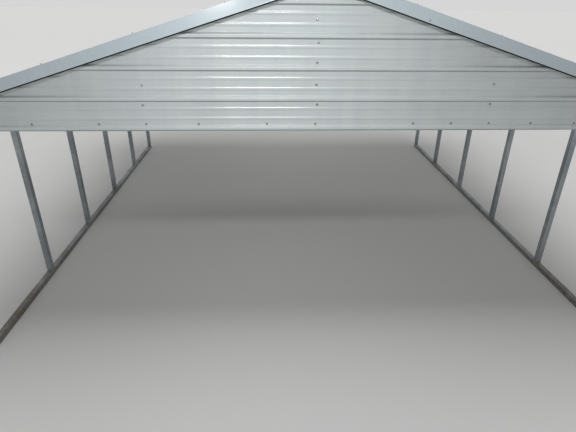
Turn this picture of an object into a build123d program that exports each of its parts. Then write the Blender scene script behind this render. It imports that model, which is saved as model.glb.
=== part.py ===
from build123d import *
import math
import os

# Open carport: galvanised tube frame, ribbed roof sheets on hat purlins, and a ribbed gable at each end.
# Lengths are in millimetres. X runs across, Y from the front gable (-) to the rear one (+), Z up.
# The origin is on the ground in the middle of the plan.

# Frame
frame_count = 6
frame_spacing = 1320.0
frame_width = 6350.0
header_height = 2200.0
roof_pitch = 0.308
tube = 63.5
tube_wall = 2.0
header_gap = 1.0
ridge_joint = 0.4
brace_tube = 50.8
brace_reach = 450.0
collar_drop = 350.0
stud_spacing = 1371.6
studs_each_side = 1

# Base rails
sleeve_height = 150.0
sleeve_wall = 2.7
sleeve_clearance = 1.2
anchor_hole = 14.3
anchor_offset = 150.0

# Ribbed sheets
sheet_thickness = 0.8
rib_pitch = 228.6
rib_height = 19.0
rib_base = 46.0
rib_crest = 22.0
bead_height = 4.0
bead_base = 28.0
bead_crest = 12.0
beads_per_rib = 2
ribs_per_sheet = 4
upper_sheet_rise = 120.0
lap_clearance = 0.15
edge_clearance = 0.5

# Roof
eave_overhang = 190.0
purlin_rows = 4
purlin_depth = 25.4
purlin_crown = 38.0
purlin_foot = 20.0
purlin_flare = 6.0
purlin_thickness = 1.2
purlin_ridge_inset = 150.0
purlin_eave_inset = 70.0
sheet_ridge_inset = 20.0
sheet_drip = 20.0

# Trims
trim_thickness = 1.0
rake_clearance = 37.0
rake_drop = 103.0
rake_flange = 75.0
rake_hem = 12.0
eave_return = 60.0
cap_reach = 170.0

# Heights and lengths that follow from the sizes above
slope = math.atan(roof_pitch)
upright = 1 / math.cos(slope)
half_width = frame_width / 2
leg_x = half_width - tube / 2
leg_inner = half_width - tube
header_top = header_height + tube
ridge_under = header_top + header_gap + roof_pitch * leg_inner
rafter_ridge = ridge_under + tube * upright
gable_ribs = (rafter_ridge - header_height - upper_sheet_rise) // rib_pitch
lower_sheet_ribs = min(ribs_per_sheet, int(gable_ribs))
tail_x = half_width + eave_overhang
frame_half = (frame_count - 1) * frame_spacing / 2
frame_face = frame_half + tube / 2
sheet_face = frame_face + rib_height + sheet_thickness
rake_face = sheet_face + rake_clearance + trim_thickness
sheet_end = rake_face - trim_thickness - edge_clearance
sheet_tail = tail_x + trim_thickness + sheet_drip
lap_lift = sheet_thickness + lap_clearance
rib_top = purlin_depth + rib_height + sheet_thickness + lap_lift
flank_angle = math.atan(2 * rib_height / (rib_base - rib_crest))
frame_rows = [index * frame_spacing - frame_half for index in range(frame_count)]
sides = {"left": -1, "right": 1}
ends = {"front": -1, "rear": 1}


def rafter_underside(x):
    """Height of the rafters' lower face at a distance from the ridge line."""
    return ridge_under - roof_pitch * abs(x)


def roof_height(x, rise):
    """Height at a distance from the ridge of the plane that lies a rise above the rafters."""
    return rafter_ridge + rise * upright - roof_pitch * abs(x)


def run_along_depth(outline, start, end, side=1):
    """Solid with an X-Z outline that runs along Y; side -1 mirrors it to the left."""
    wire = Wire.make_polygon([(side * x, start, z) for x, z in outline])
    return Solid.extrude(Face(wire), Vector(0, end - start, 0))


def run_down_slope(outline, start, end, side):
    """Solid with a Y-Z outline, measured above the rafters, that runs down the slope with plumb ends."""
    ridge = rafter_ridge - roof_pitch * start
    wire = Wire.make_polygon([(side * start, y, ridge + rise * upright) for y, rise in outline])
    return Solid.extrude(Face(wire), Vector(side * (end - start), 0, roof_pitch * (start - end)))


def square_tube(length, size, wall, centre, axis):
    """Square tube of a length along X, Y or Z, open at both ends, about a centre."""
    spans = {"X": (length, size, size), "Y": (size, length, size), "Z": (size, size, length)}
    hollow = size - 2 * wall
    hollows = {"X": (length, hollow, hollow), "Y": (hollow, length, hollow), "Z": (hollow, hollow, length)}
    return Pos(*centre) * (Box(*spans[axis]) - Box(*hollows[axis]))


def offset_line(line, distance):
    """The line moved to its left by a distance, with mitred corners."""
    normals = []
    for (x0, y0), (x1, y1) in zip(line, line[1:]):
        length = math.hypot(x1 - x0, y1 - y0)
        normals.append(((y0 - y1) / length, (x1 - x0) / length))
    moved = []
    for index, (x, y) in enumerate(line):
        before = normals[max(index - 1, 0)]
        after = normals[min(index, len(normals) - 1)]
        share = distance / (1 + before[0] * after[0] + before[1] * after[1])
        moved.append((x + share * (before[0] + after[0]), y + share * (before[1] + after[1])))
    return moved


def thicken(line, thickness):
    """Closed outline of a bent sheet whose underside is the line."""
    return line + offset_line(line, thickness)[::-1]


def under_rafters(solid, row):
    """The part of a solid in one frame that lies below its rafters."""
    reach = tail_x + tube
    outline = [(-reach, 0), (reach, 0), (reach, rafter_underside(reach))]
    outline += [(0, ridge_under), (-reach, rafter_underside(reach))]
    return solid & run_along_depth(outline, row - tube, row + tube)


# Base rails and the sleeves welded on them
def base_rail(side):
    """Ground tube under one row of legs, with an anchor hole beside each leg."""
    rail = square_tube(2 * frame_face, tube, tube_wall, (side * leg_x, 0, tube / 2), "Y")
    for row in frame_rows:
        hole_y = row - math.copysign(anchor_offset, row)
        rail -= Pos(side * leg_x, hole_y, tube / 2) * Cylinder(anchor_hole / 2, 2 * tube)
    return rail


def rail_sleeves(side):
    """Short upright sleeves on a base rail that the legs stand over."""
    size = tube - 2 * tube_wall - 2 * sleeve_clearance
    centre_z = tube + sleeve_height / 2
    places = [(side * leg_x, row, centre_z) for row in frame_rows]
    return Compound(children=[square_tube(sleeve_height, size, sleeve_wall, at, "Z") for at in places])


# Legs, rafters and what stiffens them
def leg(side, row):
    """Upright tube from the base rail to the rafter, cut to the roof slope at its top."""
    top = rafter_underside(leg_inner) + tube
    centre = (side * leg_x, row, (tube + top) / 2)
    return under_rafters(square_tube(top - tube, tube, tube_wall, centre, "Z"), row)


def rafter(side, row):
    """Sloping tube from the ridge to its plumb-cut tail, which is cut level at the header's underside."""
    start = ridge_joint / 2
    outline = [(start, -tube), (tail_x, -tube), (tail_x, 0), (start, 0)]
    bore = [(start, tube_wall - tube), (tail_x, tube_wall - tube), (tail_x, -tube_wall), (start, -tube_wall)]
    half = tube / 2
    bar = run_along_depth([(x, roof_height(x, rise)) for x, rise in outline], row - half, row + half, side)
    inner = half - tube_wall
    bar -= run_along_depth([(x, roof_height(x, rise)) for x, rise in bore], row - inner, row + inner, side)
    below = Pos(side * tail_x, row, header_height - tube) * Box(4 * tube, 2 * tube, 2 * tube)
    return bar - below


def rafter_pair(row):
    """The two rafters of one frame, welded at the ridge."""
    return Compound(children=[rafter(side, row) for side in sides.values()])


def knee_brace(side, row):
    """Diagonal tube from a leg to the member above it: the header in an end frame, or else the rafter."""
    at_end = row in (frame_rows[0], frame_rows[-1])
    top = header_height if at_end else rafter_underside(leg_inner - brace_reach)
    wide = brace_tube / math.sqrt(2)
    wide_bore = (brace_tube - 2 * tube_wall) / math.sqrt(2)
    far = brace_reach + tube

    def bar(half, depth):
        line_low = (leg_inner + tube, top - brace_reach - tube)
        line_high = (leg_inner - far, top + far - brace_reach)
        outline = [(line_low[0], line_low[1] - half), (line_low[0], line_low[1] + half)]
        outline += [(line_high[0], line_high[1] + half), (line_high[0], line_high[1] - half)]
        return run_along_depth(outline, row - depth / 2, row + depth / 2, side)

    brace = bar(wide, brace_tube) - bar(wide_bore, brace_tube - 2 * tube_wall)
    inside = Pos(0, row, top / 2) * Box(2 * leg_inner, 2 * tube, top if at_end else 2 * top)
    brace = brace & inside
    return brace if at_end else under_rafters(brace, row)


def collar_tie(row):
    """Level tube between the two rafters of an inner frame, below the ridge."""
    height = ridge_under - collar_drop - tube / 2
    reach = (collar_drop + tube) / roof_pitch
    return under_rafters(square_tube(2 * reach, tube, tube_wall, (0, row, height), "X"), row)


# Gable framing and sheets
def gable_header(end):
    """Level tube between the legs of an end frame, which carries the gable's lower edge."""
    centre = (0, end * frame_half, header_height + tube / 2)
    return square_tube(2 * leg_inner, tube, tube_wall, centre, "X")


def gable_studs(end):
    """Upright tubes between the header and the rafters of an end frame."""
    row = end * frame_half
    top = ridge_under + tube
    studs = []
    for index in range(-studs_each_side, studs_each_side + 1):
        centre = (index * stud_spacing, row, (header_top + top) / 2)
        studs.append(under_rafters(square_tube(top - header_top, tube, tube_wall, centre, "Z"), row))
    return Compound(children=studs)


def raised_strip(centre, height, base, crest):
    """The four corners of a rib or bead about a centre along the sheet's width."""
    return [
        (centre - base / 2, 0),
        (centre - crest / 2, height),
        (centre + crest / 2, height),
        (centre + base / 2, 0),
    ]


def sheet_line(start, ribs, laps_over):
    """Underside of a ribbed sheet, from its first rib's centre at start; a lapping sheet covers a rib."""
    first = raised_strip(start, rib_height, rib_base, rib_crest)
    if laps_over:
        first = offset_line([(start - rib_base, 0)] + first, lap_lift)[1:]
        first[-1] = (start + rib_base / 2 + lap_lift / math.sin(flank_angle), 0)
    line = first
    for rib in range(1, ribs + 1):
        centre = start + rib * rib_pitch
        step = rib_pitch / (beads_per_rib + 1)
        for bead in range(beads_per_rib, 0, -1):
            line += raised_strip(centre - bead * step, bead_height, bead_base, bead_crest)
        line += raised_strip(centre, rib_height, rib_base, rib_crest)
    return line


def gable_sheet(end, tier):
    """One tier of the level-ribbed sheets on a gable, cut to the slope of the rafters."""
    start = header_height + rib_base / 2 + tier * lower_sheet_ribs * rib_pitch
    ribs = ribs_per_sheet if tier else lower_sheet_ribs
    outline = thicken(sheet_line(start, ribs, tier > 0), sheet_thickness)
    reach = tail_x - edge_clearance
    wire = Wire.make_polygon([(-reach, end * (frame_face + out), z) for z, out in outline])
    sheet = Solid.extrude(Face(wire), Vector(2 * reach, 0, 0))
    eave = roof_height(reach, 0) - edge_clearance
    ridge = roof_height(0, 0) - edge_clearance
    gable = [(-reach, header_height), (reach, header_height), (reach, eave)]
    gable += [(0, ridge), (-reach, eave)]
    faces = sorted([end * frame_half, end * rake_face])
    return sheet & run_along_depth(gable, *faces)


# Roof
def purlins(side):
    """Hat-section purlins along the roof, on top of the rafters."""
    first = purlin_ridge_inset
    last = tail_x - purlin_eave_inset
    rows = [first + index * (last - first) / (purlin_rows - 1) for index in range(purlin_rows)]
    crown = purlin_crown / 2
    web_foot = crown + purlin_flare
    edge = web_foot + purlin_foot
    rise = purlin_depth - purlin_thickness
    line = [(-edge, 0), (-web_foot, 0), (-crown, rise), (crown, rise), (web_foot, 0), (edge, 0)]
    hats = []
    for row in rows:
        outline = []
        for along, out in thicken(line, purlin_thickness):
            x = row + along * math.cos(slope) + out * math.sin(slope)
            z = roof_height(row, 0) - along * math.sin(slope) + out * math.cos(slope)
            outline.append((x, z))
        hats.append(run_along_depth(outline, -sheet_end, sheet_end, side))
    return Compound(children=hats)


def roof_sheets(side):
    """Ribbed sheets side by side down one slope, each lapping the one before, cut to the roof's length."""
    first = rib_base / 2 - sheet_end
    cover = ribs_per_sheet * rib_pitch
    count = math.ceil((2 * sheet_end - rib_base) / cover)
    roof = Pos(0, 0, rafter_ridge) * Box(3 * sheet_tail, 2 * sheet_end, 3 * rafter_ridge)
    sheets = []
    for index in range(count):
        line = sheet_line(first + index * cover, ribs_per_sheet, index > 0)
        outline = [(y, purlin_depth + out) for y, out in thicken(line, sheet_thickness)]
        sheet = run_down_slope(outline, sheet_ridge_inset, sheet_tail, side)
        sheets.append(sheet & roof if index in (0, count - 1) else sheet)
    return Compound(children=sheets)


def ridge_cap():
    """Folded cap over the sheets and rake trims at the ridge."""
    low = rib_top + trim_thickness
    high = low + trim_thickness
    outline = [(-cap_reach, low), (0, low), (cap_reach, low), (cap_reach, high), (0, high), (-cap_reach, high)]
    return run_along_depth([(x, roof_height(x, rise)) for x, rise in outline], -rake_face, rake_face)


def rake_trim(end, side):
    """Folded trim down one slope of a gable: a flange on the ribs, a face and a small hem."""
    top = rib_top + trim_thickness
    foot = top - rake_drop / upright
    inner = rake_face - trim_thickness
    outline = [(rake_face - rake_flange, rib_top), (inner, rib_top), (inner, foot + trim_thickness)]
    outline += [(rake_face - rake_hem, foot + trim_thickness), (rake_face - rake_hem, foot)]
    outline += [(rake_face, foot), (rake_face, top), (rake_face - rake_flange, top)]
    return run_down_slope([(end * y, rise) for y, rise in outline], ridge_joint / 2, sheet_tail, side)


def eave_trim(side):
    """Folded trim along one eave: a face on the rafter tails and a return under them."""
    outer = tail_x + trim_thickness
    top = roof_height(outer, purlin_depth) - edge_clearance
    inner = tail_x - eave_return
    bottom = header_height - trim_thickness
    outline = [(tail_x, top), (tail_x, header_height), (inner, header_height)]
    outline += [(inner, bottom), (outer, bottom), (outer, top)]
    length = rake_face - rake_hem - edge_clearance
    return run_along_depth(outline, -length, length, side)


def carport():
    """Every named piece of the carport."""
    pieces = {"ridge_cap": ridge_cap()}
    for name, side in sides.items():
        pieces[f"base_rail_{name}"] = base_rail(side)
        pieces[f"rail_sleeves_{name}"] = rail_sleeves(side)
        pieces[f"knee_braces_{name}"] = Compound(children=[knee_brace(side, row) for row in frame_rows])
        pieces[f"purlins_{name}"] = purlins(side)
        pieces[f"roof_sheets_{name}"] = roof_sheets(side)
        pieces[f"eave_trim_{name}"] = eave_trim(side)
        for number, row in enumerate(frame_rows, 1):
            pieces[f"leg_{name}_{number}"] = leg(side, row)
    for number, row in enumerate(frame_rows, 1):
        pieces[f"rafters_{number}"] = rafter_pair(row)
    pieces["collar_ties"] = Compound(children=[collar_tie(row) for row in frame_rows[1:-1]])
    for name, end in ends.items():
        pieces[f"gable_header_{name}"] = gable_header(end)
        pieces[f"gable_studs_{name}"] = gable_studs(end)
        for tier, place in enumerate(["lower", "upper"]):
            pieces[f"gable_sheet_{name}_{place}"] = gable_sheet(end, tier)
        for side_name, side in sides.items():
            pieces[f"rake_trim_{name}_{side_name}"] = rake_trim(end, side)
    return pieces


os.makedirs("parts", exist_ok=True)
for node, shape in carport().items():
    export_step(shape, f"parts/{node}.step")
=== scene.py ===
"""Open carport: galvanised tube frame, ribbed roof sheets on hat purlins and a ribbed gable at each end."""
import logging
import math
import random
from collections.abc import Iterable, Sequence
from dataclasses import dataclass, field
from enum import Enum

import bmesh
import bpy
from mathutils import Color, Matrix, Vector

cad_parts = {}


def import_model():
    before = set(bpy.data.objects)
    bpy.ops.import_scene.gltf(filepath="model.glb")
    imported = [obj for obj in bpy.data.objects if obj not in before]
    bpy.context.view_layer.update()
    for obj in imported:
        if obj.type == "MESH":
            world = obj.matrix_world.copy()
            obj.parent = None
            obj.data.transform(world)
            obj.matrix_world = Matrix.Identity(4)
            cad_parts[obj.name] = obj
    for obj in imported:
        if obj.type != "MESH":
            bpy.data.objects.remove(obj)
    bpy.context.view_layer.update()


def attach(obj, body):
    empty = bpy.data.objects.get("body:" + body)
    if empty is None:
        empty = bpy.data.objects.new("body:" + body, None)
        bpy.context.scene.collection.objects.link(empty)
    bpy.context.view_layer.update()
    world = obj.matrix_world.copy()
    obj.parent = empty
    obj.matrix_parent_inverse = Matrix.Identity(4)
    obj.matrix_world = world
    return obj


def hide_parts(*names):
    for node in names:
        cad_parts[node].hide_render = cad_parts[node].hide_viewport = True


log = logging.getLogger("carport")

Pair = tuple[float, float]
Triple = tuple[float, float, float]
Colour = tuple[float, float, float, float]
Corners = Sequence[Pair]
Plane = tuple[Vector, Vector]
Spot = tuple[Vector, Vector]
Socket = bpy.types.NodeSocket

BODY = "root"
SAME_PLACE = 1e-6
MERGE_DISTANCE = 1e-5
SQUARE_ON = 0.9
ACROSS = Vector((1.0, 0.0, 0.0)).freeze()
ALONG = Vector((0.0, 1.0, 0.0)).freeze()
UP = Vector((0.0, 0.0, 1.0)).freeze()


class Half(Enum):
    """One of two halves that mirror each other; its value is the sign of its coordinate."""

    @property
    def label(self) -> str:
        """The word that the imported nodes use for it."""
        return self.name.lower()


class Side(Half):
    """The two sides of the carport, seen from the front."""

    LEFT = -1
    RIGHT = 1

    @property
    def outward(self) -> Vector:
        """Direction away from the ridge line."""
        return Vector((self.value, 0.0, 0.0))


class End(Half):
    """The two gabled ends."""

    FRONT = -1
    REAR = 1

    @property
    def outward(self) -> Vector:
        """Direction away from the middle of the carport."""
        return Vector((0.0, self.value, 0.0))


class Slot(Enum):
    """The record's material slots."""

    TUBE = "galvanised_tube"
    PURLIN = "galvanised_purlin"
    SHEET = "sheet_paint"
    TRIM = "trim_paint"


# Sizes
@dataclass(frozen=True)
class Plan:
    """Sizes that the pieces share, in metres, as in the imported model."""

    frame_count: int = 6
    frame_spacing: float = 1.32
    frame_width: float = 6.35
    header_height: float = 2.2
    roof_pitch: float = 0.308
    tube: float = 0.0635
    header_gap: float = 0.001
    ridge_joint: float = 0.0004
    brace_tube: float = 0.0508
    brace_reach: float = 0.45
    collar_drop: float = 0.35
    stud_spacing: float = 1.3716
    rib_height: float = 0.019
    sheet_thickness: float = 0.0008
    lap_lift: float = 0.00095
    eave_overhang: float = 0.19
    purlin_depth: float = 0.0254
    rake_clearance: float = 0.037
    trim_thickness: float = 0.001
    edge_clearance: float = 0.0005
    sheet_drip: float = 0.02

    @property
    def slope(self) -> float:
        """Angle of the roof, in radians."""
        return math.atan(self.roof_pitch)

    @property
    def upright(self) -> float:
        """Height of a plumb cut through a layer one metre thick on the slope."""
        return 1 / math.cos(self.slope)

    @property
    def half_width(self) -> float:
        """Distance from the ridge line to the legs' outer faces."""
        return self.frame_width / 2

    @property
    def leg_x(self) -> float:
        """Distance from the ridge line to the middle of a leg."""
        return self.half_width - self.tube / 2

    @property
    def leg_inner(self) -> float:
        """Distance from the ridge line to the legs' inner faces."""
        return self.half_width - self.tube

    @property
    def header_top(self) -> float:
        """Height of the header's upper face."""
        return self.header_height + self.tube

    @property
    def ridge_under(self) -> float:
        """Height of the rafters' lower faces at the ridge."""
        return self.header_top + self.header_gap + self.roof_pitch * self.leg_inner

    @property
    def rafter_ridge(self) -> float:
        """Height of the rafters' upper faces at the ridge."""
        return self.ridge_under + self.tube * self.upright

    @property
    def tail_x(self) -> float:
        """Distance from the ridge line to the rafters' plumb tails."""
        return self.half_width + self.eave_overhang

    @property
    def frame_half(self) -> float:
        """Distance along the depth from the middle to an end frame."""
        return (self.frame_count - 1) * self.frame_spacing / 2

    @property
    def frame_face(self) -> float:
        """Distance along the depth to the end frames' outer faces."""
        return self.frame_half + self.tube / 2

    @property
    def rake_face(self) -> float:
        """Distance along the depth to the face of the rake trims."""
        sheet_face = self.frame_face + self.rib_height + self.sheet_thickness
        return sheet_face + self.rake_clearance + self.trim_thickness

    @property
    def sheet_end(self) -> float:
        """Distance along the depth to the purlins' ends, just inside the rake trims."""
        return self.rake_face - self.trim_thickness - self.edge_clearance

    @property
    def sheet_tail(self) -> float:
        """Distance from the ridge line to the roof sheets' lower edges."""
        return self.tail_x + self.trim_thickness + self.sheet_drip

    @property
    def rib_top(self) -> float:
        """Rise above the rafters of the tops of the roof's ribs."""
        return self.purlin_depth + self.rib_height + self.sheet_thickness + self.lap_lift

    @property
    def rows(self) -> list[float]:
        """Places along the depth of the frames, front to rear."""
        return [index * self.frame_spacing - self.frame_half for index in range(self.frame_count)]

    def roof_height(self, x: float, rise: float) -> float:
        """Height, at a distance from the ridge line, of the plane a rise above the rafters."""
        return self.rafter_ridge + rise * self.upright - self.roof_pitch * abs(x)

    def rafter_underside(self, x: float) -> float:
        """Height of the rafters' lower faces at a distance from the ridge line."""
        return self.ridge_under - self.roof_pitch * abs(x)

    def down(self, side: Side) -> Vector:
        """Direction down one slope."""
        return Vector((side.value * math.cos(self.slope), 0.0, -math.sin(self.slope)))

    def above(self, side: Side) -> Vector:
        """Direction square to one slope, upwards."""
        return Vector((side.value * math.sin(self.slope), 0.0, math.cos(self.slope)))

    def slope_axes(self, side: Side) -> Matrix:
        """Matrix from (down the slope, along the depth, above the rafters) to the carport's own axes."""
        return axes_matrix(self.down(side), ALONG, self.above(side), UP * self.rafter_ridge)


def axes_matrix(first: Vector, second: Vector, third: Vector, origin: Vector) -> Matrix:
    """Matrix with three axes as its columns and a place for its origin.

    Args:
        first: where a local X of one metre goes.
        second: where a local Y of one metre goes.
        third: where a local Z of one metre goes.
        origin: where the local origin goes.

    Returns:
        The four by four matrix.
    """
    matrix = Matrix((first, second, third)).transposed().to_4x4()
    matrix.translation = origin
    return matrix


def facing(way: Vector, distance: float) -> Plane:
    """Plane square to a direction, at a distance along it from the origin."""
    return way * distance, way


# Shaping of sheet metal and tube
def place(bm: bmesh.types.BMesh, matrix: Matrix) -> None:
    """Moves a whole mesh by a matrix and keeps its faces outwards when the matrix mirrors it.

    Args:
        bm: the mesh to move.
        matrix: where it goes.
    """
    bmesh.ops.transform(bm, matrix=matrix, verts=bm.verts[:])
    if matrix.determinant() < 0:
        bmesh.ops.reverse_faces(bm, faces=bm.faces[:])


def divide(bm: bmesh.types.BMesh, plane: Plane, clear: bool) -> list[bmesh.types.BMEdge]:
    """Adds a line of edges where a plane crosses a mesh.

    Args:
        bm: the mesh to divide.
        plane: a point on the plane and its normal.
        clear: whether what lies on the side that the normal points to is removed.

    Returns:
        The edges on the plane.
    """
    geometry = bm.verts[:] + bm.edges[:] + bm.faces[:]
    made = bmesh.ops.bisect_plane(bm, geom=geometry, plane_co=plane[0], plane_no=plane[1], clear_outer=clear)
    return [item for item in made["geom_cut"] if isinstance(item, bmesh.types.BMEdge)]


def round_bends(
    bm: bmesh.types.BMesh, width: float, segments: int, least: float = 0.05, most: float = math.pi
) -> None:
    """Rounds each edge at which two faces meet at an angle.

    Args:
        bm: the mesh to round.
        width: distance from the bend to where its rounding starts.
        segments: faces across one bend.
        least: smallest angle, in radians, that counts as a bend.
        most: largest angle, in radians, that is rounded.
    """
    bm.normal_update()
    bends = [e for e in bm.edges if len(e.link_faces) == 2 and least < e.calc_face_angle(0.0) < most]
    bmesh.ops.bevel(
        bm,
        geom=bends,
        offset=width,
        offset_type="OFFSET",
        segments=segments,
        profile=0.5,
        affect="EDGES",
        clamp_overlap=True,
        material=-1,
    )


def folded_strip(corners: Corners, length: float) -> bmesh.types.BMesh:
    """Sheet folded along straight bends.

    Args:
        corners: across and up, the line that the sheet follows in its section.
        length: how far the section runs.

    Returns:
        A mesh one face thick, with its section in local X and Z and its run along Y from zero.
    """
    bm = bmesh.new()
    line = [bm.verts.new((across, 0.0, up)) for across, up in corners]
    edges = [bm.edges.new(pair) for pair in zip(line, line[1:])]
    shift(bm, bmesh.ops.extrude_edge_only(bm, edges=edges)["geom"], (0.0, length, 0.0))
    bm.normal_update()
    return bm


def thicken(bm: bmesh.types.BMesh, thickness: float) -> None:
    """Gives a one-face sheet its thickness on the side that its faces turn away from."""
    bmesh.ops.solidify(bm, geom=bm.faces[:], thickness=thickness)


def shift(bm: bmesh.types.BMesh, geometry: Iterable[object], way: Triple) -> None:
    """Moves the vertices that are among some geometry."""
    verts = [item for item in geometry if isinstance(item, bmesh.types.BMVert)]
    bmesh.ops.translate(bm, verts=verts, vec=way)


def to_mesh(bm: bmesh.types.BMesh, name: str) -> bpy.types.Mesh:
    """Turns what is being built into a mesh, and frees it."""
    mesh = bpy.data.meshes.new(name)
    bm.to_mesh(mesh)
    bm.free()
    return mesh


def show(name: str, data: bpy.types.ID) -> bpy.types.Object:
    """Puts a new object into the scene."""
    made = bpy.data.objects.new(name, data)
    bpy.context.scene.collection.objects.link(made)
    return made


def shaped(item: bpy.types.Object) -> bpy.types.Mesh:
    """Mesh of an object as its modifiers or its curve's bevel make it."""
    bpy.context.view_layer.update()
    return bpy.data.meshes.new_from_object(item.evaluated_get(bpy.context.evaluated_depsgraph_get()))


def join(parts: Iterable[bmesh.types.BMesh]) -> bmesh.types.BMesh:
    """Puts several meshes into the first of them and frees the others.

    Args:
        parts: the meshes, at least one.

    Returns:
        The first mesh, which now holds them all.
    """
    whole, *others = parts
    for part in others:
        carrier = to_mesh(part, "carrier")
        whole.from_mesh(carrier)
        bpy.data.meshes.remove(carrier)
    return whole


@dataclass(frozen=True)
class BoxTube:
    """Square tube with rounded corners.

    Its UV map holds metres: round the section, from the middle of the face that carries the weld seam,
    and along the tube. Its attribute joint is 1 next to a welded joint and 0 away from it.
    """

    size: float
    wall: float = 0.002
    corner: float = 0.0048
    segments: int = 3
    joint_reach: float = 0.028
    joint_fade: float = 0.03
    ring_margin: float = 0.004
    ring_digits: int = 4

    def shell(self, size: float, corner: float, length: float) -> bmesh.types.BMesh:
        """One open skin of the tube about local Z, from zero to its length.

        Args:
            size: width of the skin over its flat faces.
            corner: where the rounding of its corners starts.
            length: its length.

        Returns:
            The skin.
        """
        bm = bmesh.new()
        stretch = Matrix.Diagonal((size, size, length, 1.0))
        bmesh.ops.create_cube(bm, size=1.0, matrix=Matrix.Translation((0.0, 0.0, length / 2)) @ stretch)
        bm.normal_update()
        ends = [f for f in bm.faces if abs(f.normal.z) > SQUARE_ON]
        bmesh.ops.delete(bm, geom=ends, context="FACES_ONLY")
        round_bends(bm, corner, self.segments)
        return bm

    def skins(self, length: float) -> bmesh.types.BMesh:
        """The outer skin and the bore, with the tube's UV map.

        Args:
            length: the tube's length.

        Returns:
            Both skins, open at their ends.
        """
        outer = self.shell(self.size, self.corner, length)
        bore = self.shell(self.size - 2 * self.wall, self.corner - self.wall, length)
        bmesh.ops.reverse_faces(bore, faces=bore.faces[:])
        bm = join([outer, bore])
        bm.normal_update()
        layer = bm.loops.layers.uv.new("run")
        for face in bm.faces:
            normal = face.normal if face.calc_center_median().xy.dot(face.normal.xy) > 0 else -face.normal
            on_x = abs(normal.x) > abs(normal.y)
            turn = (0 if normal.x > 0 else 2) if on_x else (1 if normal.y > 0 else 3)
            way = 1 if turn in (0, 1) else -1
            for loop in face.loops:
                at = loop.vert.co
                loop[layer].uv = (turn * self.size + way * (at.y if on_x else -at.x), at.z)
        return bm

    def bar(
        self,
        start: Vector,
        end: Vector,
        across: Vector,
        cuts: Sequence[Plane] = (),
        joints: Sequence[Vector] = (),
    ) -> bmesh.types.BMesh:
        """Length of tube between two points, cut at its ends.

        Args:
            start: middle of the section at one end, before the cuts.
            end: middle of the section at the other end, before the cuts.
            across: direction that one pair of the tube's faces turns to.
            cuts: planes that trim the ends.
            joints: middles of the welded joints on this tube.

        Returns:
            The closed mesh of the tube and its bore.
        """
        along = (end - start).normalized()
        length = (end - start).length
        bm = self.skins(length)
        place(bm, axes_matrix(across, along.cross(across), along, start))
        for plane in cuts:
            divide(bm, plane, clear=True)
        for loops in paired_loops(bm):
            bmesh.ops.bridge_loops(bm, edges=loops)
        near = self.size / 2 + self.joint_reach
        rings = set()
        for joint in joints:
            middle = (joint - start).dot(along)
            for reach in (near, near + self.joint_fade):
                rings |= {round(middle + way * reach, self.ring_digits) for way in (-1, 1)}
        for distance in sorted(rings):
            if self.ring_margin < distance < length - self.ring_margin:
                divide(bm, (start + along * distance, along), clear=False)
        layer = bm.verts.layers.float.new("joint")
        for vert in bm.verts:
            gap = min((abs((vert.co - joint).dot(along)) for joint in joints), default=math.inf)
            vert[layer] = min(max(1 - (gap - near) / self.joint_fade, 0.0), 1.0)
        return bm

    def outline_on(self, start: Vector, end: Vector, across: Vector, plane: Plane) -> list[Vector]:
        """Closed line on which the tube's outer skin meets a plane.

        Args:
            start: middle of the section at one end.
            end: middle of the section at the other end, beyond the plane.
            across: direction that one pair of the tube's faces turns to.
            plane: a point on the plane and its normal.

        Returns:
            Points in order round the tube, the last next to the first.
        """
        along = (end - start).normalized()
        bm = self.shell(self.size, self.corner, (end - start).length)
        place(bm, axes_matrix(across, along.cross(across), along, start))
        points = [vert.co.copy() for vert in ordered_loop(divide(bm, plane, clear=True))]
        bm.free()
        return points


def ordered_loop(edges: Sequence[bmesh.types.BMEdge]) -> list[bmesh.types.BMVert]:
    """Vertices of one closed loop of edges, in order.

    Args:
        edges: the loop's edges, in any order.

    Returns:
        Its vertices, the last next to the first.
    """
    mine = set(edges)
    vert = edges[0].verts[0]
    edge = edges[0]
    line = [vert]
    while True:
        vert = edge.other_vert(vert)
        if vert is line[0]:
            return line
        line.append(vert)
        edge = next(e for e in vert.link_edges if e in mine and e is not edge)


def paired_loops(bm: bmesh.types.BMesh) -> list[list[bmesh.types.BMEdge]]:
    """Open loops of a mesh, each with the one whose middle is nearest.

    Args:
        bm: a mesh with an even number of open loops.

    Returns:
        The edges of each pair.
    """
    left = dict.fromkeys(e for e in bm.edges if e.is_boundary)
    loops: list[list[bmesh.types.BMEdge]] = []
    while left:
        edge, _ = left.popitem()
        loop, grow = [edge], [edge]
        while grow:
            for vert in grow.pop().verts:
                for other in vert.link_edges:
                    if other in left:
                        del left[other]
                        loop.append(other)
                        grow.append(other)
        loops.append(loop)
    middles = [sum((v.co for e in loop for v in e.verts), Vector()) / (2 * len(loop)) for loop in loops]
    pairs = []
    waiting = list(range(len(loops)))
    while waiting:
        first = waiting.pop(0)
        mate = min(waiting, key=lambda other: (middles[other] - middles[first]).length)
        waiting.remove(mate)
        pairs.append(loops[first] + loops[mate])
    return pairs


# Node trees
def paint(red: int, green: int, blue: int) -> Colour:
    """Linear colour of a paint.

    Args:
        red: its red on the screen, from 0 to 255.
        green: its green.
        blue: its blue.

    Returns:
        The colour with an alpha of 1.
    """
    shares = Color(value / 255 for value in (red, green, blue))
    return (*shares.from_srgb_to_scene_linear(), 1.0)


@dataclass(frozen=True)
class Noise:
    """Pattern of noise, and the band of its values over which what it steers comes in.

    Its values lie mostly between 0.3 and 0.7. Its scale is how fine it is, all round or along each axis.
    """

    scale: float | Triple
    detail: float = 3.0
    roughness: float = 0.5
    low: float = 0.35
    high: float = 0.65
    share: float = 1.0


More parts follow.
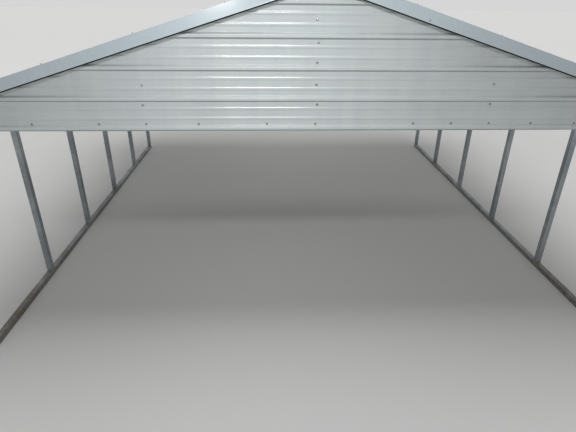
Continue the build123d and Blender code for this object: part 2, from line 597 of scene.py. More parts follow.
class Graph:
    """Node tree of a material or a world while it is put together."""

    def __init__(self, owner: bpy.types.Material | bpy.types.World) -> None:
        """Empties the owner's node tree."""
        owner.use_nodes = True
        self.tree = owner.node_tree
        self.tree.nodes.clear()

    def put(self, socket: Socket, value: object) -> None:
        """Links a socket to another one, or sets its value.

        Args:
            socket: the input.
            value: an output, a number or a colour.
        """
        if isinstance(value, bpy.types.NodeSocket):
            self.tree.links.new(value, socket)
        else:
            socket.default_value = value

    def node(self, kind: str, **values: object) -> bpy.types.Node:
        """New node.

        Args:
            kind: the end of its type's name.
            **values: what its inputs take; a name's underscores stand for spaces.

        Returns:
            The node.
        """
        node = self.tree.nodes.new(f"ShaderNode{kind}")
        self.fill(node, values)
        return node

    def fill(self, node: bpy.types.Node, values: dict[str, object]) -> None:
        """Feeds a node's inputs by name, in which underscores stand for spaces."""
        for name, value in values.items():
            self.put(node.inputs[name.replace("_", " ")], value)

    def maths(self, operation: str, first: object, second: object = 0.0, third: object = 0.0) -> Socket:
        """Result of one sum.

        Args:
            operation: the Math node's operation.
            first: a socket or number.
            second: a socket or number.
            third: a socket or number.

        Returns:
            The result.
        """
        node = self.node("Math")
        node.operation = operation
        for socket, value in zip(node.inputs, (first, second, third)):
            self.put(socket, value)
        return node.outputs[0]

    def scaled(self, value: object, factor: object, offset: object = 0.0) -> Socket:
        """A value times a factor plus an offset."""
        return self.maths("MULTIPLY_ADD", value, factor, offset)

    def largest(self, *values: Socket) -> Socket:
        """The largest of several values.

        Args:
            *values: the sockets that give them.

        Returns:
            The largest.
        """
        result = values[0]
        for value in values[1:]:
            result = self.maths("MAXIMUM", result, value)
        return result


class Surface(Graph):
    """Node tree of a finish: a Principled shader, and the Object coordinates that its patterns follow."""

    def __init__(self, material: bpy.types.Material) -> None:
        """Starts the tree with the shader, the output and the coordinates."""
        super().__init__(material)
        self.shader = self.node("BsdfPrincipled")
        self.node("OutputMaterial", Surface=self.shader.outputs[0])
        self.where = self.node("TexCoord").outputs["Object"]

    def feed(self, **values: object) -> None:
        """Feeds the shader; a name's underscores stand for spaces."""
        self.fill(self.shader, values)

    def stretched(self, source: Socket, scale: Triple) -> Socket:
        """Coordinates multiplied along each axis."""
        return self.node("Mapping", Vector=source, Scale=scale).outputs[0]

    def noise(self, kind: Noise, source: Socket | None = None) -> Socket:
        """Values of a pattern of noise.

        Args:
            kind: the pattern.
            source: the coordinates that it follows, or none for the piece's own.

        Returns:
            The values.
        """
        where = self.where if source is None else source
        scale = kind.scale
        if isinstance(scale, tuple):
            where, scale = self.stretched(where, scale), 1.0
        node = self.node("TexNoise", Vector=where, Scale=scale, Detail=kind.detail, Roughness=kind.roughness)
        return node.outputs[0]

    def crystals(self, size: float, stretch: Triple) -> tuple[Socket, Socket]:
        """Random values of zinc crystals.

        Args:
            size: width of a crystal, in metres.
            stretch: how the coordinates are multiplied along each axis.

        Returns:
            Two values, each the same all over one crystal.
        """
        cells = self.node("TexVoronoi", Vector=self.stretched(self.where, stretch), Scale=1 / size)
        parts = self.node("SeparateColor", Color=cells.outputs["Color"])
        return parts.outputs[0], parts.outputs[1]

    def spread(self, value: Socket, low: float, high: float, start: float = 0.0, end: float = 1.0) -> Socket:
        """Value that goes smoothly from start to end while the input goes from low to high.

        Args:
            value: the input.
            low: the input at which the change starts.
            high: the input at which it is complete.
            start: the result up to low.
            end: the result from high on.

        Returns:
            The result.
        """
        node = self.node("MapRange", Value=value, From_Min=low, From_Max=high, To_Min=start, To_Max=end)
        node.interpolation_type = "SMOOTHSTEP"
        return node.outputs[0]

    def patches(self, kind: Noise, source: Socket | None = None) -> Socket:
        """Patches of a pattern of noise, which rise smoothly from 0 to its share.

        Args:
            kind: the pattern.
            source: the coordinates that it follows, or none for the piece's own.

        Returns:
            The share at each place.
        """
        return self.spread(self.noise(kind, source), kind.low, kind.high, 0.0, kind.share)

    def blend(self, share: object, first: object, second: object, kind: str = "MIX") -> Socket:
        """Colour between two.

        Args:
            share: how much of the second colour shows.
            first: a socket or colour.
            second: a socket or colour.
            kind: the Mix node's way of blending.

        Returns:
            The colour.
        """
        node = self.node("Mix")
        node.data_type = "RGBA"
        node.blend_type = kind
        for index, value in ((0, share), (6, first), (7, second)):
            self.put(node.inputs[index], value)
        return node.outputs[2]

    def mottled(self, kind: Noise, first: object, second: object) -> Socket:
        """First colour with the second in patches of a pattern."""
        return self.blend(self.patches(kind), first, second)

    def shaded(self, colour: object, brightness: Socket) -> Socket:
        """Colour multiplied by a brightness."""
        grey = self.node("CombineColor", Red=brightness, Green=brightness, Blue=brightness)
        return self.blend(1.0, colour, grey.outputs[0], "MULTIPLY")

    def axis(self, source: Socket, index: int) -> Socket:
        """One of a vector's three numbers."""
        return self.node("SeparateXYZ", Vector=source).outputs[index]

    def distance(self) -> Socket:
        """Distance from the piece's origin."""
        node = self.node("VectorMath", Vector=self.where)
        node.operation = "LENGTH"
        return node.outputs["Value"]

    def tilted(self, band: Pair, start: float = 0.0, end: float = 1.0) -> Socket:
        """Value that changes as the surface turns from the ground to the sky.

        Args:
            band: where the change starts and is complete, from -1 for facing down to 1 for facing up.
            start: the result before the band.
            end: the result after it.

        Returns:
            The result.
        """
        normal = self.node("NewGeometry").outputs["Normal"]
        return self.spread(self.axis(normal, 2), *band, start, end)

    def attribute(self, name: str) -> Socket:
        """Number that a mesh holds at its vertices."""
        node = self.node("Attribute")
        node.attribute_name = name
        return node.outputs["Fac"]

    def uv(self, name: str) -> Socket:
        """Coordinates of a mesh's own UV map."""
        node = self.node("UVMap")
        node.uv_map = name
        return node.outputs[0]

    def relief(self, height: Socket, depth: float, under: Socket | None = None) -> Socket:
        """Normal of a surface with a relief.

        Args:
            height: the relief, from 0 to 1.
            depth: how far a height of 1 raises the surface, in metres.
            under: the normal that this relief lies on.

        Returns:
            The normal.
        """
        node = self.node("Bump", Strength=1.0, Distance=depth, Height=height)
        if under is not None:
            self.put(node.inputs["Normal"], under)
        return node.outputs[0]


# Finishes
@dataclass(frozen=True)
class Finish:
    """A finish that several pieces share; its material is made once."""

    name: str

    def material(self) -> bpy.types.Material:
        """The finish's material, made on first use.

        Returns:
            The material.
        """
        made = bpy.data.materials.get(self.name)
        if made is None:
            made = bpy.data.materials.new(self.name)
            self.dress(Surface(made))
        return made

    def dress(self, g: Surface) -> None:
        """Builds the material's nodes in its tree."""
        raise NotImplementedError


@dataclass(frozen=True)
class Galvanised(Finish):
    """Zinc coating with crystals, white rust, dust on its upper faces and mud near the ground.

    The mud's places are two depths along the carport, and its rises what its height is multiplied by there.
    """

    bright_tone: Colour = paint(156, 164, 168)
    dull_tone: Colour = paint(128, 136, 141)
    white_rust: Colour = paint(190, 193, 192)
    dust: Colour = paint(143, 137, 126)
    dry_mud: Colour = paint(146, 134, 118)
    wet_mud: Colour = paint(112, 99, 84)
    cloud: Noise = Noise(2.3, 4.0)
    crystal: float = 0.006
    crystal_stretch: Triple = (1.0, 1.0, 0.7)
    contrast: float = 0.16
    grit: Noise = Noise(260.0, 2.0)
    grit_depth: float = 0.0001
    rusting: Noise = Noise(11.0, 7.0, 0.62, low=0.56, high=0.66, share=0.5)
    settling: Noise = Noise(6.0, 5.0, high=0.62)
    level_faces: Pair = (0.55, 0.95)
    dust_share: float = 0.45
    soil: Noise = Noise(30.0, 4.0, high=0.7)
    splash: Noise = Noise((9.0, 9.0, 4.0), 6.0, 0.65)
    mud_share: float = 0.95
    mud_height: float = 0.14
    mud_edge: float = 0.05
    mud_places: Pair = (-3.4, -0.8)
    mud_rises: Pair = (1.9, 0.8)
    metal: float = 0.75
    roughness: float = 0.36
    crystal_roughness: float = 0.12
    cover_roughness: float = 0.42

    def dress(self, g: Surface) -> None:
        """Builds the material's nodes in its tree."""
        bright, rough = g.crystals(self.crystal, self.crystal_stretch)
        base = g.mottled(self.cloud, self.bright_tone, self.dull_tone)
        base = g.shaded(base, g.scaled(bright, self.contrast, 1 - self.contrast / 2))
        base, height = self.drawn(g, base, g.noise(self.grit))
        rust = g.patches(self.rusting)
        base = g.blend(rust, base, self.white_rust)
        on_top = g.tilted(self.level_faces, 0.0, self.dust_share)
        dust = g.maths("MULTIPLY", on_top, g.patches(self.settling))
        base = g.blend(dust, base, self.dust)
        mud = self.mud(g)
        base = g.blend(mud, base, g.mottled(self.soil, self.wet_mud, self.dry_mud))
        cover = g.largest(mud, dust, rust)
        clean = g.scaled(rough, self.crystal_roughness, self.roughness)
        g.feed(
            Base_Color=base,
            Metallic=g.scaled(cover, -self.metal, self.metal),
            Roughness=g.scaled(cover, self.cover_roughness, clean),
            Normal=g.relief(height, self.grit_depth),
        )

    def drawn(self, g: Surface, base: Socket, height: Socket) -> tuple[Socket, Socket]:
        """Colour and relief that the way of making leaves; plain coated sheet has none."""
        return base, height

    def mud(self, g: Surface) -> Socket:
        """How far splashed mud covers the surface; it reaches higher towards the front.

        Args:
            g: the material's tree.

        Returns:
            The share that is covered.
        """
        rises = (rise * self.mud_height for rise in self.mud_rises)
        reach = g.spread(g.axis(g.where, 1), *self.mud_places, *rises)
        level = g.maths("SUBTRACT", g.axis(g.where, 2), g.maths("MULTIPLY", g.noise(self.splash), reach))
        return g.spread(level, -self.mud_height, self.mud_edge, self.mud_share, 0.0)


@dataclass(frozen=True)
class GalvanisedTube(Galvanised):
    """Zinc on rolled tube: draw lines, a weld seam down one face, and zinc paint brushed over joints."""

    drawn_line: Colour = paint(199, 204, 208)
    seam: Colour = paint(207, 210, 212)
    zinc_paint: Colour = paint(178, 180, 181)
    lines: Noise = Noise((700.0, 5.0, 1.0), 2.0, low=0.45, high=0.75, share=0.22)
    wander: Noise = Noise((4.0, 9.0, 1.0), 2.0)
    seam_wander: float = 0.004
    seam_band: Pair = (-0.0004, 0.0022)
    seam_share: float = 0.55
    strokes: Noise = Noise((60.0, 30.0, 1.0), 4.0, 0.6)
    stroke_reach: float = 0.9
    stroke_band: Pair = (0.42, 0.6)
    raised: float = 0.9

    def drawn(self, g: Surface, base: Socket, height: Socket) -> tuple[Socket, Socket]:
        """Adds the draw lines, the seam and the brushed zinc paint.

        Args:
            g: the material's tree.
            base: the colour so far.
            height: the relief so far.

        Returns:
            The colour and the relief with them.
        """
        run = g.uv("run")
        base = g.blend(g.patches(self.lines, run), base, self.drawn_line)
        wander = g.maths("MULTIPLY", g.noise(self.wander, run), self.seam_wander)
        aside = g.maths("SUBTRACT", g.maths("ABSOLUTE", g.axis(run, 0)), wander)
        seam = g.spread(aside, *self.seam_band, self.seam_share, 0.0)
        base = g.blend(seam, base, self.seam)
        strokes = g.scaled(g.noise(self.strokes, run), self.stroke_reach, -self.stroke_reach / 2)
        brushed = g.spread(g.maths("ADD", g.attribute("joint"), strokes), *self.stroke_band)
        base = g.blend(brushed, base, self.zinc_paint)
        return base, g.scaled(g.largest(seam, brushed), self.raised, height)


@dataclass(frozen=True)
class Coat(Finish):
    """What finishes painted on sheet share: orange peel, and oil canning of the metal; depths in metres."""

    peel: Noise = Noise(420.0, 2.0)
    peel_depth: float = 0.00003
    canning: Noise | None = None
    canning_depth: float = 0.0002

    def skin(self, g: Surface) -> Socket:
        """Normal of the painted metal.

        Args:
            g: the material's tree.

        Returns:
            The normal.
        """
        bulged = g.relief(g.noise(self.canning), self.canning_depth) if self.canning else None
        return g.relief(g.noise(self.peel), self.peel_depth, bulged)


@dataclass(frozen=True)
class SheetPaint(Coat):
    """Satin paint on ribbed steel, with faint rain streaks, oil canning and settled dust, and painted shade
    that darkens its downward faces.
    """

    tone: Colour = paint(195, 202, 203)
    washed_tone: Colour = paint(190, 197, 199)
    dust: Colour = paint(158, 155, 146)
    # Painted shade: the colour that downward faces, such as the ribs' lower flanks, are darkened towards.
    grime: Colour = paint(96, 99, 98)
    streaks: Noise = Noise((8.0, 8.0, 0.5), 6.0, 0.6, low=0.32, high=0.68)
    canning: Noise | None = Noise((2.6, 2.6, 7.0), 1.0)
    film: Noise = Noise(3.1, 6.0, 0.6, low=0.42, high=0.72)
    grains: Noise = Noise(45.0, low=0.4, high=0.6)
    specks: Noise = Noise(95.0, 1.0, low=0.735, high=0.77, share=0.4)
    ledges: Pair = (0.3, 0.95)
    # Painted shade: faces turned further down than this band are darkened in full, fading to none across it.
    undersides: Pair = (-0.8, -0.35)
    dust_share: float = 0.14
    # Painted shade: how far the downward faces are darkened.
    grime_share: float = 0.5
    roughness: float = 0.27
    streak_roughness: float = 0.12
    dust_roughness: float = 0.9
    specular: float = 0.6
    gloss: float = 0.6
    gloss_loss: float = 2.5
    gloss_roughness: float = 0.13

    def dress(self, g: Surface) -> None:
        """Builds the material's nodes in its tree."""
        base = g.mottled(self.streaks, self.tone, self.washed_tone)
        settled = g.largest(g.patches(self.film), g.tilted(self.ledges))
        grains = g.scaled(g.patches(self.grains), self.dust_share / 2, self.dust_share / 2)
        dust = g.maths("MULTIPLY", settled, grains)
        base = g.blend(dust, base, self.dust)
        base = g.blend(g.patches(self.specks), base, self.dust)
        clean = g.scaled(g.noise(self.streaks), self.streak_roughness, self.roughness)
        # Painted shade: faces that turn downwards are darkened towards a darker grey.
        g.feed(
            Base_Color=g.blend(g.tilted(self.undersides, self.grime_share, 0.0), base, self.grime),
            Roughness=g.scaled(dust, self.dust_roughness, clean),
            Specular_IOR_Level=self.specular,
            Coat_Weight=g.scaled(dust, -self.gloss_loss, self.gloss),
            Coat_Roughness=self.gloss_roughness,
            Normal=self.skin(g),
        )


@dataclass(frozen=True)
class BackerCoat(Coat):
    """Thin wash coat on the hidden side of painted sheet, with roller marks."""

    tone: Colour = paint(186, 187, 180)
    thin_tone: Colour = paint(167, 170, 166)
    drop_mark: Colour = paint(150, 148, 140)
    marks: Noise = Noise(3.0, 6.0, 0.6)
    drops: Noise = Noise(8.0, 6.0, 0.65, low=0.6, high=0.72, share=0.35)
    roughness: float = 0.4
    mark_roughness: float = 0.2
    specular: float = 0.4

    def dress(self, g: Surface) -> None:
        """Builds the material's nodes in its tree."""
        base = g.mottled(self.marks, self.tone, self.thin_tone)
        g.feed(
            Base_Color=g.blend(g.patches(self.drops), base, self.drop_mark),
            Roughness=g.scaled(g.noise(self.marks), self.mark_roughness, self.roughness),
            Specular_IOR_Level=self.specular,
            Normal=self.skin(g),
        )


@dataclass(frozen=True)
class TrimPaint(Coat):
    """Smooth blue-grey paint on folded trim, with light handling marks, and painted shade that turns its
    downward faces, such as the tucked foot, nearly black and dull.
    """

    peel_depth: float = 0.00002
    tone: Colour = paint(184, 197, 203)
    faded_tone: Colour = paint(181, 194, 201)
    scuff: Colour = paint(206, 214, 218)
    dust: Colour = paint(150, 150, 144)
    # Painted shade: the near-black colour that downward faces, such as the tucked foot, are darkened towards.
    grime: Colour = paint(34, 37, 39)
    cloud: Noise = Noise((1.4, 1.4, 5.0), 5.0, 0.55, low=0.36, high=0.64)
    canning: Noise | None = Noise((2.2, 2.2, 3.0), 1.0)
    scuffs: Noise = Noise((14.0, 14.0, 120.0), 5.0, 0.7, low=0.66, high=0.8, share=0.16)
    settling: Noise = Noise(5.0, 6.0, 0.6, low=0.42, high=0.75, share=0.2)
    ledges: Pair = (0.0, 0.9)
    side_dust: float = 0.15
    # Painted shade: band of facing over which the darkening of downward faces fades out, and its strength.
    undersides: Pair = (-0.55, -0.2)
    grime_share: float = 0.98
    roughness: float = 0.27
    wear_roughness: float = 0.5
    specular: float = 0.55
    # How far the painted shade turns down the specular, and the painted shade and dust turn down the coat.
    specular_loss: float = 0.5
    gloss: float = 0.5
    gloss_loss: float = 0.9
    gloss_roughness: float = 0.14

    def dress(self, g: Surface) -> None:
        """Builds the material's nodes in its tree."""
        base = g.mottled(self.cloud, self.tone, self.faded_tone)
        scuffs = g.patches(self.scuffs)
        base = g.blend(scuffs, base, self.scuff)
        dust = g.maths("MULTIPLY", g.patches(self.settling), g.tilted(self.ledges, self.side_dust))
        base = g.blend(dust, base, self.dust)
        # Painted shade: downward faces are darkened nearly to black, and their specular and coat are turned
        # down so that they reflect little.
        under = g.tilted(self.undersides, self.grime_share, 0.0)
        g.feed(
            Base_Color=g.blend(under, base, self.grime),
            Roughness=g.scaled(g.largest(dust, scuffs), self.wear_roughness, self.roughness),
            Specular_IOR_Level=g.scaled(under, -self.specular_loss, self.specular),
            Coat_Weight=g.scaled(g.largest(dust, under), -self.gloss_loss, self.gloss),
            Coat_Roughness=self.gloss_roughness,
            Normal=self.skin(g),
        )


@dataclass(frozen=True)
class ZincPlate(Finish):
    """Bright zinc plate on screw heads, dulled and slightly stained."""

    tone: Colour = paint(180, 183, 185)
    dull_tone: Colour = paint(140, 143, 145)
    stain: Colour = paint(138, 128, 114)
    wear: Noise = Noise(90.0, 5.0, 0.6, low=0.38, high=0.62)
    stains: Noise = Noise(37.0, low=0.62, high=0.72, share=0.5)
    metal: float = 0.9
    roughness: float = 0.12
    wear_roughness: float = 0.25

    def dress(self, g: Surface) -> None:
        """Builds the material's nodes in its tree."""
        stain = g.patches(self.stains)
        g.feed(
            Base_Color=g.blend(stain, g.mottled(self.wear, self.tone, self.dull_tone), self.stain),
            Metallic=g.scaled(stain, -self.metal, self.metal),
            Roughness=g.scaled(g.noise(self.wear), self.wear_roughness, self.roughness),
        )


@dataclass(frozen=True)
class SealRubber(Finish):
    """Weathered black rubber of the sealing washers."""

    tone: Colour = paint(34, 35, 36)
    chalk: Colour = paint(58, 59, 58)
    wear: Noise = Noise(160.0, 4.0, 0.6, low=0.4)
    roughness: float = 0.6
    wear_roughness: float = 0.3
    relief_depth: float = 0.0001

    def dress(self, g: Surface) -> None:
        """Builds the material's nodes in its tree."""
        wear = g.noise(self.wear)
        g.feed(
            Base_Color=g.mottled(self.wear, self.tone, self.chalk),
            Roughness=g.scaled(wear, self.wear_roughness, self.roughness),
            Normal=g.relief(wear, self.relief_depth),
        )


@dataclass(frozen=True)
class WeldMetal(Finish):
    """Weld bead under brushed zinc paint, with rust coming through."""

    tone: Colour = paint(172, 174, 175)
    dull_tone: Colour = paint(138, 141, 143)
    rust: Colour = paint(128, 78, 46)
    dark_rust: Colour = paint(94, 60, 40)
    wear: Noise = Noise(70.0, 6.0, 0.62, low=0.4, high=0.6)
    rusting: Noise = Noise(24.0, 6.0, 0.65, low=0.55, high=0.66, share=0.85)
    metal: float = 0.5
    roughness: float = 0.48
    rust_roughness: float = 0.35
    relief_depth: float = 0.0004

    def dress(self, g: Surface) -> None:
        """Builds the material's nodes in its tree."""
        rust = g.patches(self.rusting)
        painted = g.mottled(self.wear, self.tone, self.dull_tone)
        rusty = g.mottled(self.wear, self.rust, self.dark_rust)
        g.feed(
            Base_Color=g.blend(rust, painted, rusty),
            Metallic=g.scaled(rust, -self.metal, self.metal),
            Roughness=g.scaled(rust, self.rust_roughness, self.roughness),
            Normal=g.relief(g.noise(self.wear), self.relief_depth),
        )


@dataclass(frozen=True)
class StudioFloor(Finish):
    """Plain pale studio floor that fades into the backdrop; its glow is for that fade."""

    tone: Colour = paint(232, 232, 231)
    other_tone: Colour = paint(231, 231, 230)
    cloud: Noise = Noise(0.35, low=0.3, high=0.7)
    roughness: float = 0.75
    specular: float = 0.25
    fade: Pair = (3.5, 16.0)
    glow: Pair = (0.07, 0.585)

    def dress(self, g: Surface) -> None:
        """Builds the material's nodes in its tree."""
        g.feed(
            Base_Color=g.mottled(self.cloud, self.tone, self.other_tone),
            Roughness=self.roughness,
            Specular_IOR_Level=self.specular,
            Emission_Color=self.tone,
            Emission_Strength=g.spread(g.distance(), *self.fade, *self.glow),
        )


@dataclass(frozen=True)
class Finishes:
    """The finishes of the whole carport."""

    tube: Finish = GalvanisedTube("zinc_on_tube")
    sleeve: Finish = Galvanised("zinc_on_sleeves")
    purlin: Finish = Galvanised(
        "zinc_on_purlins",
        bright_tone=paint(186, 191, 194),
        dull_tone=paint(160, 166, 170),
        crystal=0.013,
        contrast=0.26,
        metal=0.85,
        roughness=0.27,
    )
    gable: Finish = SheetPaint("satin_paint_on_gables")
    roof: Finish = SheetPaint(
        "satin_paint_on_roof",
        streaks=Noise((0.45, 9.0, 0.45), 6.0, 0.6, low=0.32, high=0.68),
        canning=Noise((2.2, 7.0, 2.2), 1.0),
        dust_share=0.24,
    )
    backer: Finish = BackerCoat("wash_coat_under_sheets")
    trim: Finish = TrimPaint("blue_grey_paint_on_trims")
    screw: Finish = ZincPlate("zinc_plate_on_screws")
    rubber: Finish = SealRubber("rubber_of_washers")
    weld: Finish = WeldMetal("painted_weld_beads")
    floor: Finish = StudioFloor("studio_floor_paint")


# Parts that repeat
@dataclass(frozen=True)
class HexScrew:
    """Self-drilling screw with a hexagonal head, a cupped washer and a rubber seal; sizes in metres."""

    across_flats: float = 0.008
    head_height: float = 0.0042
    shoulder: float = 0.8
    chamfer: float = 0.5
    flange_radius: float = 0.0056
    flange_height: float = 0.0009
    flange_taper: float = 0.9
    washer_radius: float = 0.0074
    washer_height: float = 0.0009
    washer_crown: float = 0.62
    rubber_height: float = 0.0016
    squeeze: float = 1.28
    facets: int = 10
    head_sides: int = 6
    lean: float = 0.06

    def pattern(self) -> bpy.types.Mesh:
        """Screw that stands on local Z.

        Returns:
            Its mesh, with material 0 on metal and 1 on rubber.
        """
        washer, flange, head = self.washer_radius, self.flange_radius, self.across_flats / math.sqrt(3)
        rubber_top = self.rubber_height
        washer_top = rubber_top + self.washer_height
        flange_top = washer_top + self.flange_height
        shoulder = flange_top + self.head_height * self.shoulder
        crown = flange_top + self.head_height
        layers = (
            (washer * self.squeeze, washer, 0.0, rubber_top, self.facets, 1),
            (washer, washer * self.washer_crown, rubber_top, washer_top, self.facets, 0),
            (flange, flange * self.flange_taper, washer_top, flange_top, self.facets, 0),
            (head, head, flange_top, shoulder, self.head_sides, 0),
            (head, head * self.chamfer, shoulder, crown, self.head_sides, 0),
        )
        bm = bmesh.new()
        for low, high, bottom, top, facets, material in layers:
            made = bmesh.ops.create_cone(
                bm,
                cap_ends=True,
                segments=facets,
                radius1=low,
                radius2=high,
                depth=top - bottom,
                matrix=Matrix.Translation((0.0, 0.0, (top + bottom) / 2)),
            )
            bm.normal_update()
            faces = {face for vert in made["verts"] for face in vert.link_faces}
            hidden = [face for face in faces if face.normal.z < -SQUARE_ON]
            for face in faces:
                face.material_index = material
            bmesh.ops.delete(bm, geom=hidden, context="FACES_ONLY")
        return to_mesh(bm, "screw_pattern")

    def rows(self, spots: Sequence[Spot], rng: random.Random) -> bmesh.types.BMesh:
        """Screws at many places, each turned and leaning by chance.

        Args:
            spots: the surface point and the outward direction of each screw.
            rng: the seeded source of chance.

        Returns:
            One mesh of all the screws.
        """
        pattern = self.pattern()
        bm = bmesh.new()
        for point, outward in spots:
            before = len(bm.verts)
            bm.from_mesh(pattern)
            bm.verts.ensure_lookup_table()
            lean = Vector((rng.uniform(-self.lean, self.lean), rng.uniform(-self.lean, self.lean), 0.0))
            turn = (outward.normalized() + lean).to_track_quat("Z", "Y").to_matrix().to_4x4()
            spin = Matrix.Rotation(rng.uniform(0.0, math.tau), 4, "Z")
            matrix = Matrix.Translation(point) @ turn @ spin
            bmesh.ops.transform(bm, matrix=matrix, verts=bm.verts[before:])
        bpy.data.meshes.remove(pattern)
        return bm


@dataclass(frozen=True)
class WeldBead:
    """Bead of weld metal with the ripples that its drops leave; sizes in metres, swells in radii."""

    radius: float = 0.0026
    facets: int = 1
    step: float = 0.0036
    stray: float = 0.0003
    hollow: float = 0.86
    crest: float = 1.12
    unevenness: float = 0.14

    def walked(self, line: Sequence[Vector]) -> list[Vector]:
        """Evenly spaced points along a closed line.

        Args:
            line: corners of the closed line, in order.

        Returns:
            Points about one step apart.
        """
        points = []
        for first, second in zip(line, [*line[1:], line[0]]):
            count = max(1, round((second - first).length / self.step))
            points += [first.lerp(second, index / count) for index in range(count)]
        return points

    def along(self, lines: Sequence[Sequence[Vector]], rng: random.Random) -> bmesh.types.BMesh:
        """Beads that follow closed lines.

        Args:
            lines: corners of each closed line.
            rng: the seeded source of chance.

        Returns:
            One mesh of all the beads.
        """
        curve = bpy.data.curves.new("bead_path", "CURVE")
        curve.dimensions = "3D"
        curve.bevel_depth = self.radius
        curve.bevel_resolution = self.facets
        for line in lines:
            points = self.walked(line)
            spline = curve.splines.new("POLY")
            spline.points.add(len(points) - 1)
            spline.use_cyclic_u = True
            for index, (target, point) in enumerate(zip(spline.points, points)):
                stray = Vector((rng.uniform(-1, 1), rng.uniform(-1, 1), rng.uniform(-1, 1))) * self.stray
                target.co = (*(point + stray), 1.0)
                swell = self.hollow if index % 2 else self.crest
                target.radius = swell + rng.uniform(-self.unevenness, self.unevenness)
        carrier = show("bead_path", curve)
        mesh = shaped(carrier)
        bm = bmesh.new()
        bm.from_mesh(mesh)
        bpy.data.objects.remove(carrier)
        bpy.data.curves.remove(curve)
        bpy.data.meshes.remove(mesh)
        return bm


# Sub-assemblies
@dataclass
class Assembly:
    """A group of pieces; its subclasses build and dress them."""

    plan: Plan
    finishes: Finishes
    sharp_angle: float = math.radians(50)
    normal_weight: int = 100
    pieces: list[bpy.types.Object] = field(default_factory=list)

    def build(self) -> None:
        """Builds and dresses the pieces."""
        raise NotImplementedError

    def add(
        self,
        bm: bmesh.types.BMesh,
        name: str,
        slot: Slot,
        finishes: Sequence[Finish],
        nodes: Sequence[str] = (),
    ) -> bpy.types.Object:
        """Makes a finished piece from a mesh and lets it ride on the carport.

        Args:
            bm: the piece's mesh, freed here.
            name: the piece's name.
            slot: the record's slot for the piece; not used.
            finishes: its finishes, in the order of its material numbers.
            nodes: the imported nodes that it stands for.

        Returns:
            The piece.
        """
        bm.normal_update()
        for edge in bm.edges:
            if len(edge.link_faces) == 2 and edge.calc_face_angle(0.0) > self.sharp_angle:
                edge.smooth = False
        for face in bm.faces:
            face.smooth = True
        piece = show(name, to_mesh(bm, name))
        for finish in finishes:
            piece.data.materials.append(finish.material())
        even = piece.modifiers.new("even_normals", "WEIGHTED_NORMAL")
        even.keep_sharp = True
        even.weight = self.normal_weight
        self.apply_modifiers(piece)
        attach(piece, BODY)
        if nodes:
            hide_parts(*nodes)
        self.pieces.append(piece)
        return piece

    def fasten(
        self, spots: Sequence[Spot], rng: random.Random, name: str, slot: Slot, screw: HexScrew = HexScrew()
    ) -> None:
        """Adds rows of screws as one piece.

        Args:
            spots: the surface point and the outward direction of each screw.
            rng: the seeded source of chance.
            name: the piece's name.
            slot: the record's slot of what the screws hold.
            screw: the kind of screw.
        """
        self.add(screw.rows(spots, rng), name, slot, [self.finishes.screw, self.finishes.rubber])

    @staticmethod
    def apply_modifiers(piece: bpy.types.Object) -> None:
        """Puts what the modifiers make into the piece's own mesh.

        Args:
            piece: the piece, which loses its modifiers.
        """
        old = piece.data
        piece.data = shaped(piece)
        piece.modifiers.clear()
        bpy.data.meshes.remove(old)
        piece.data.name = piece.name

    def report(self) -> None:
        """Logs each piece with its number of faces."""
        for piece in self.pieces:
            log.info("%s: %s, %d faces", type(self).__name__, piece.name, len(piece.data.polygons))


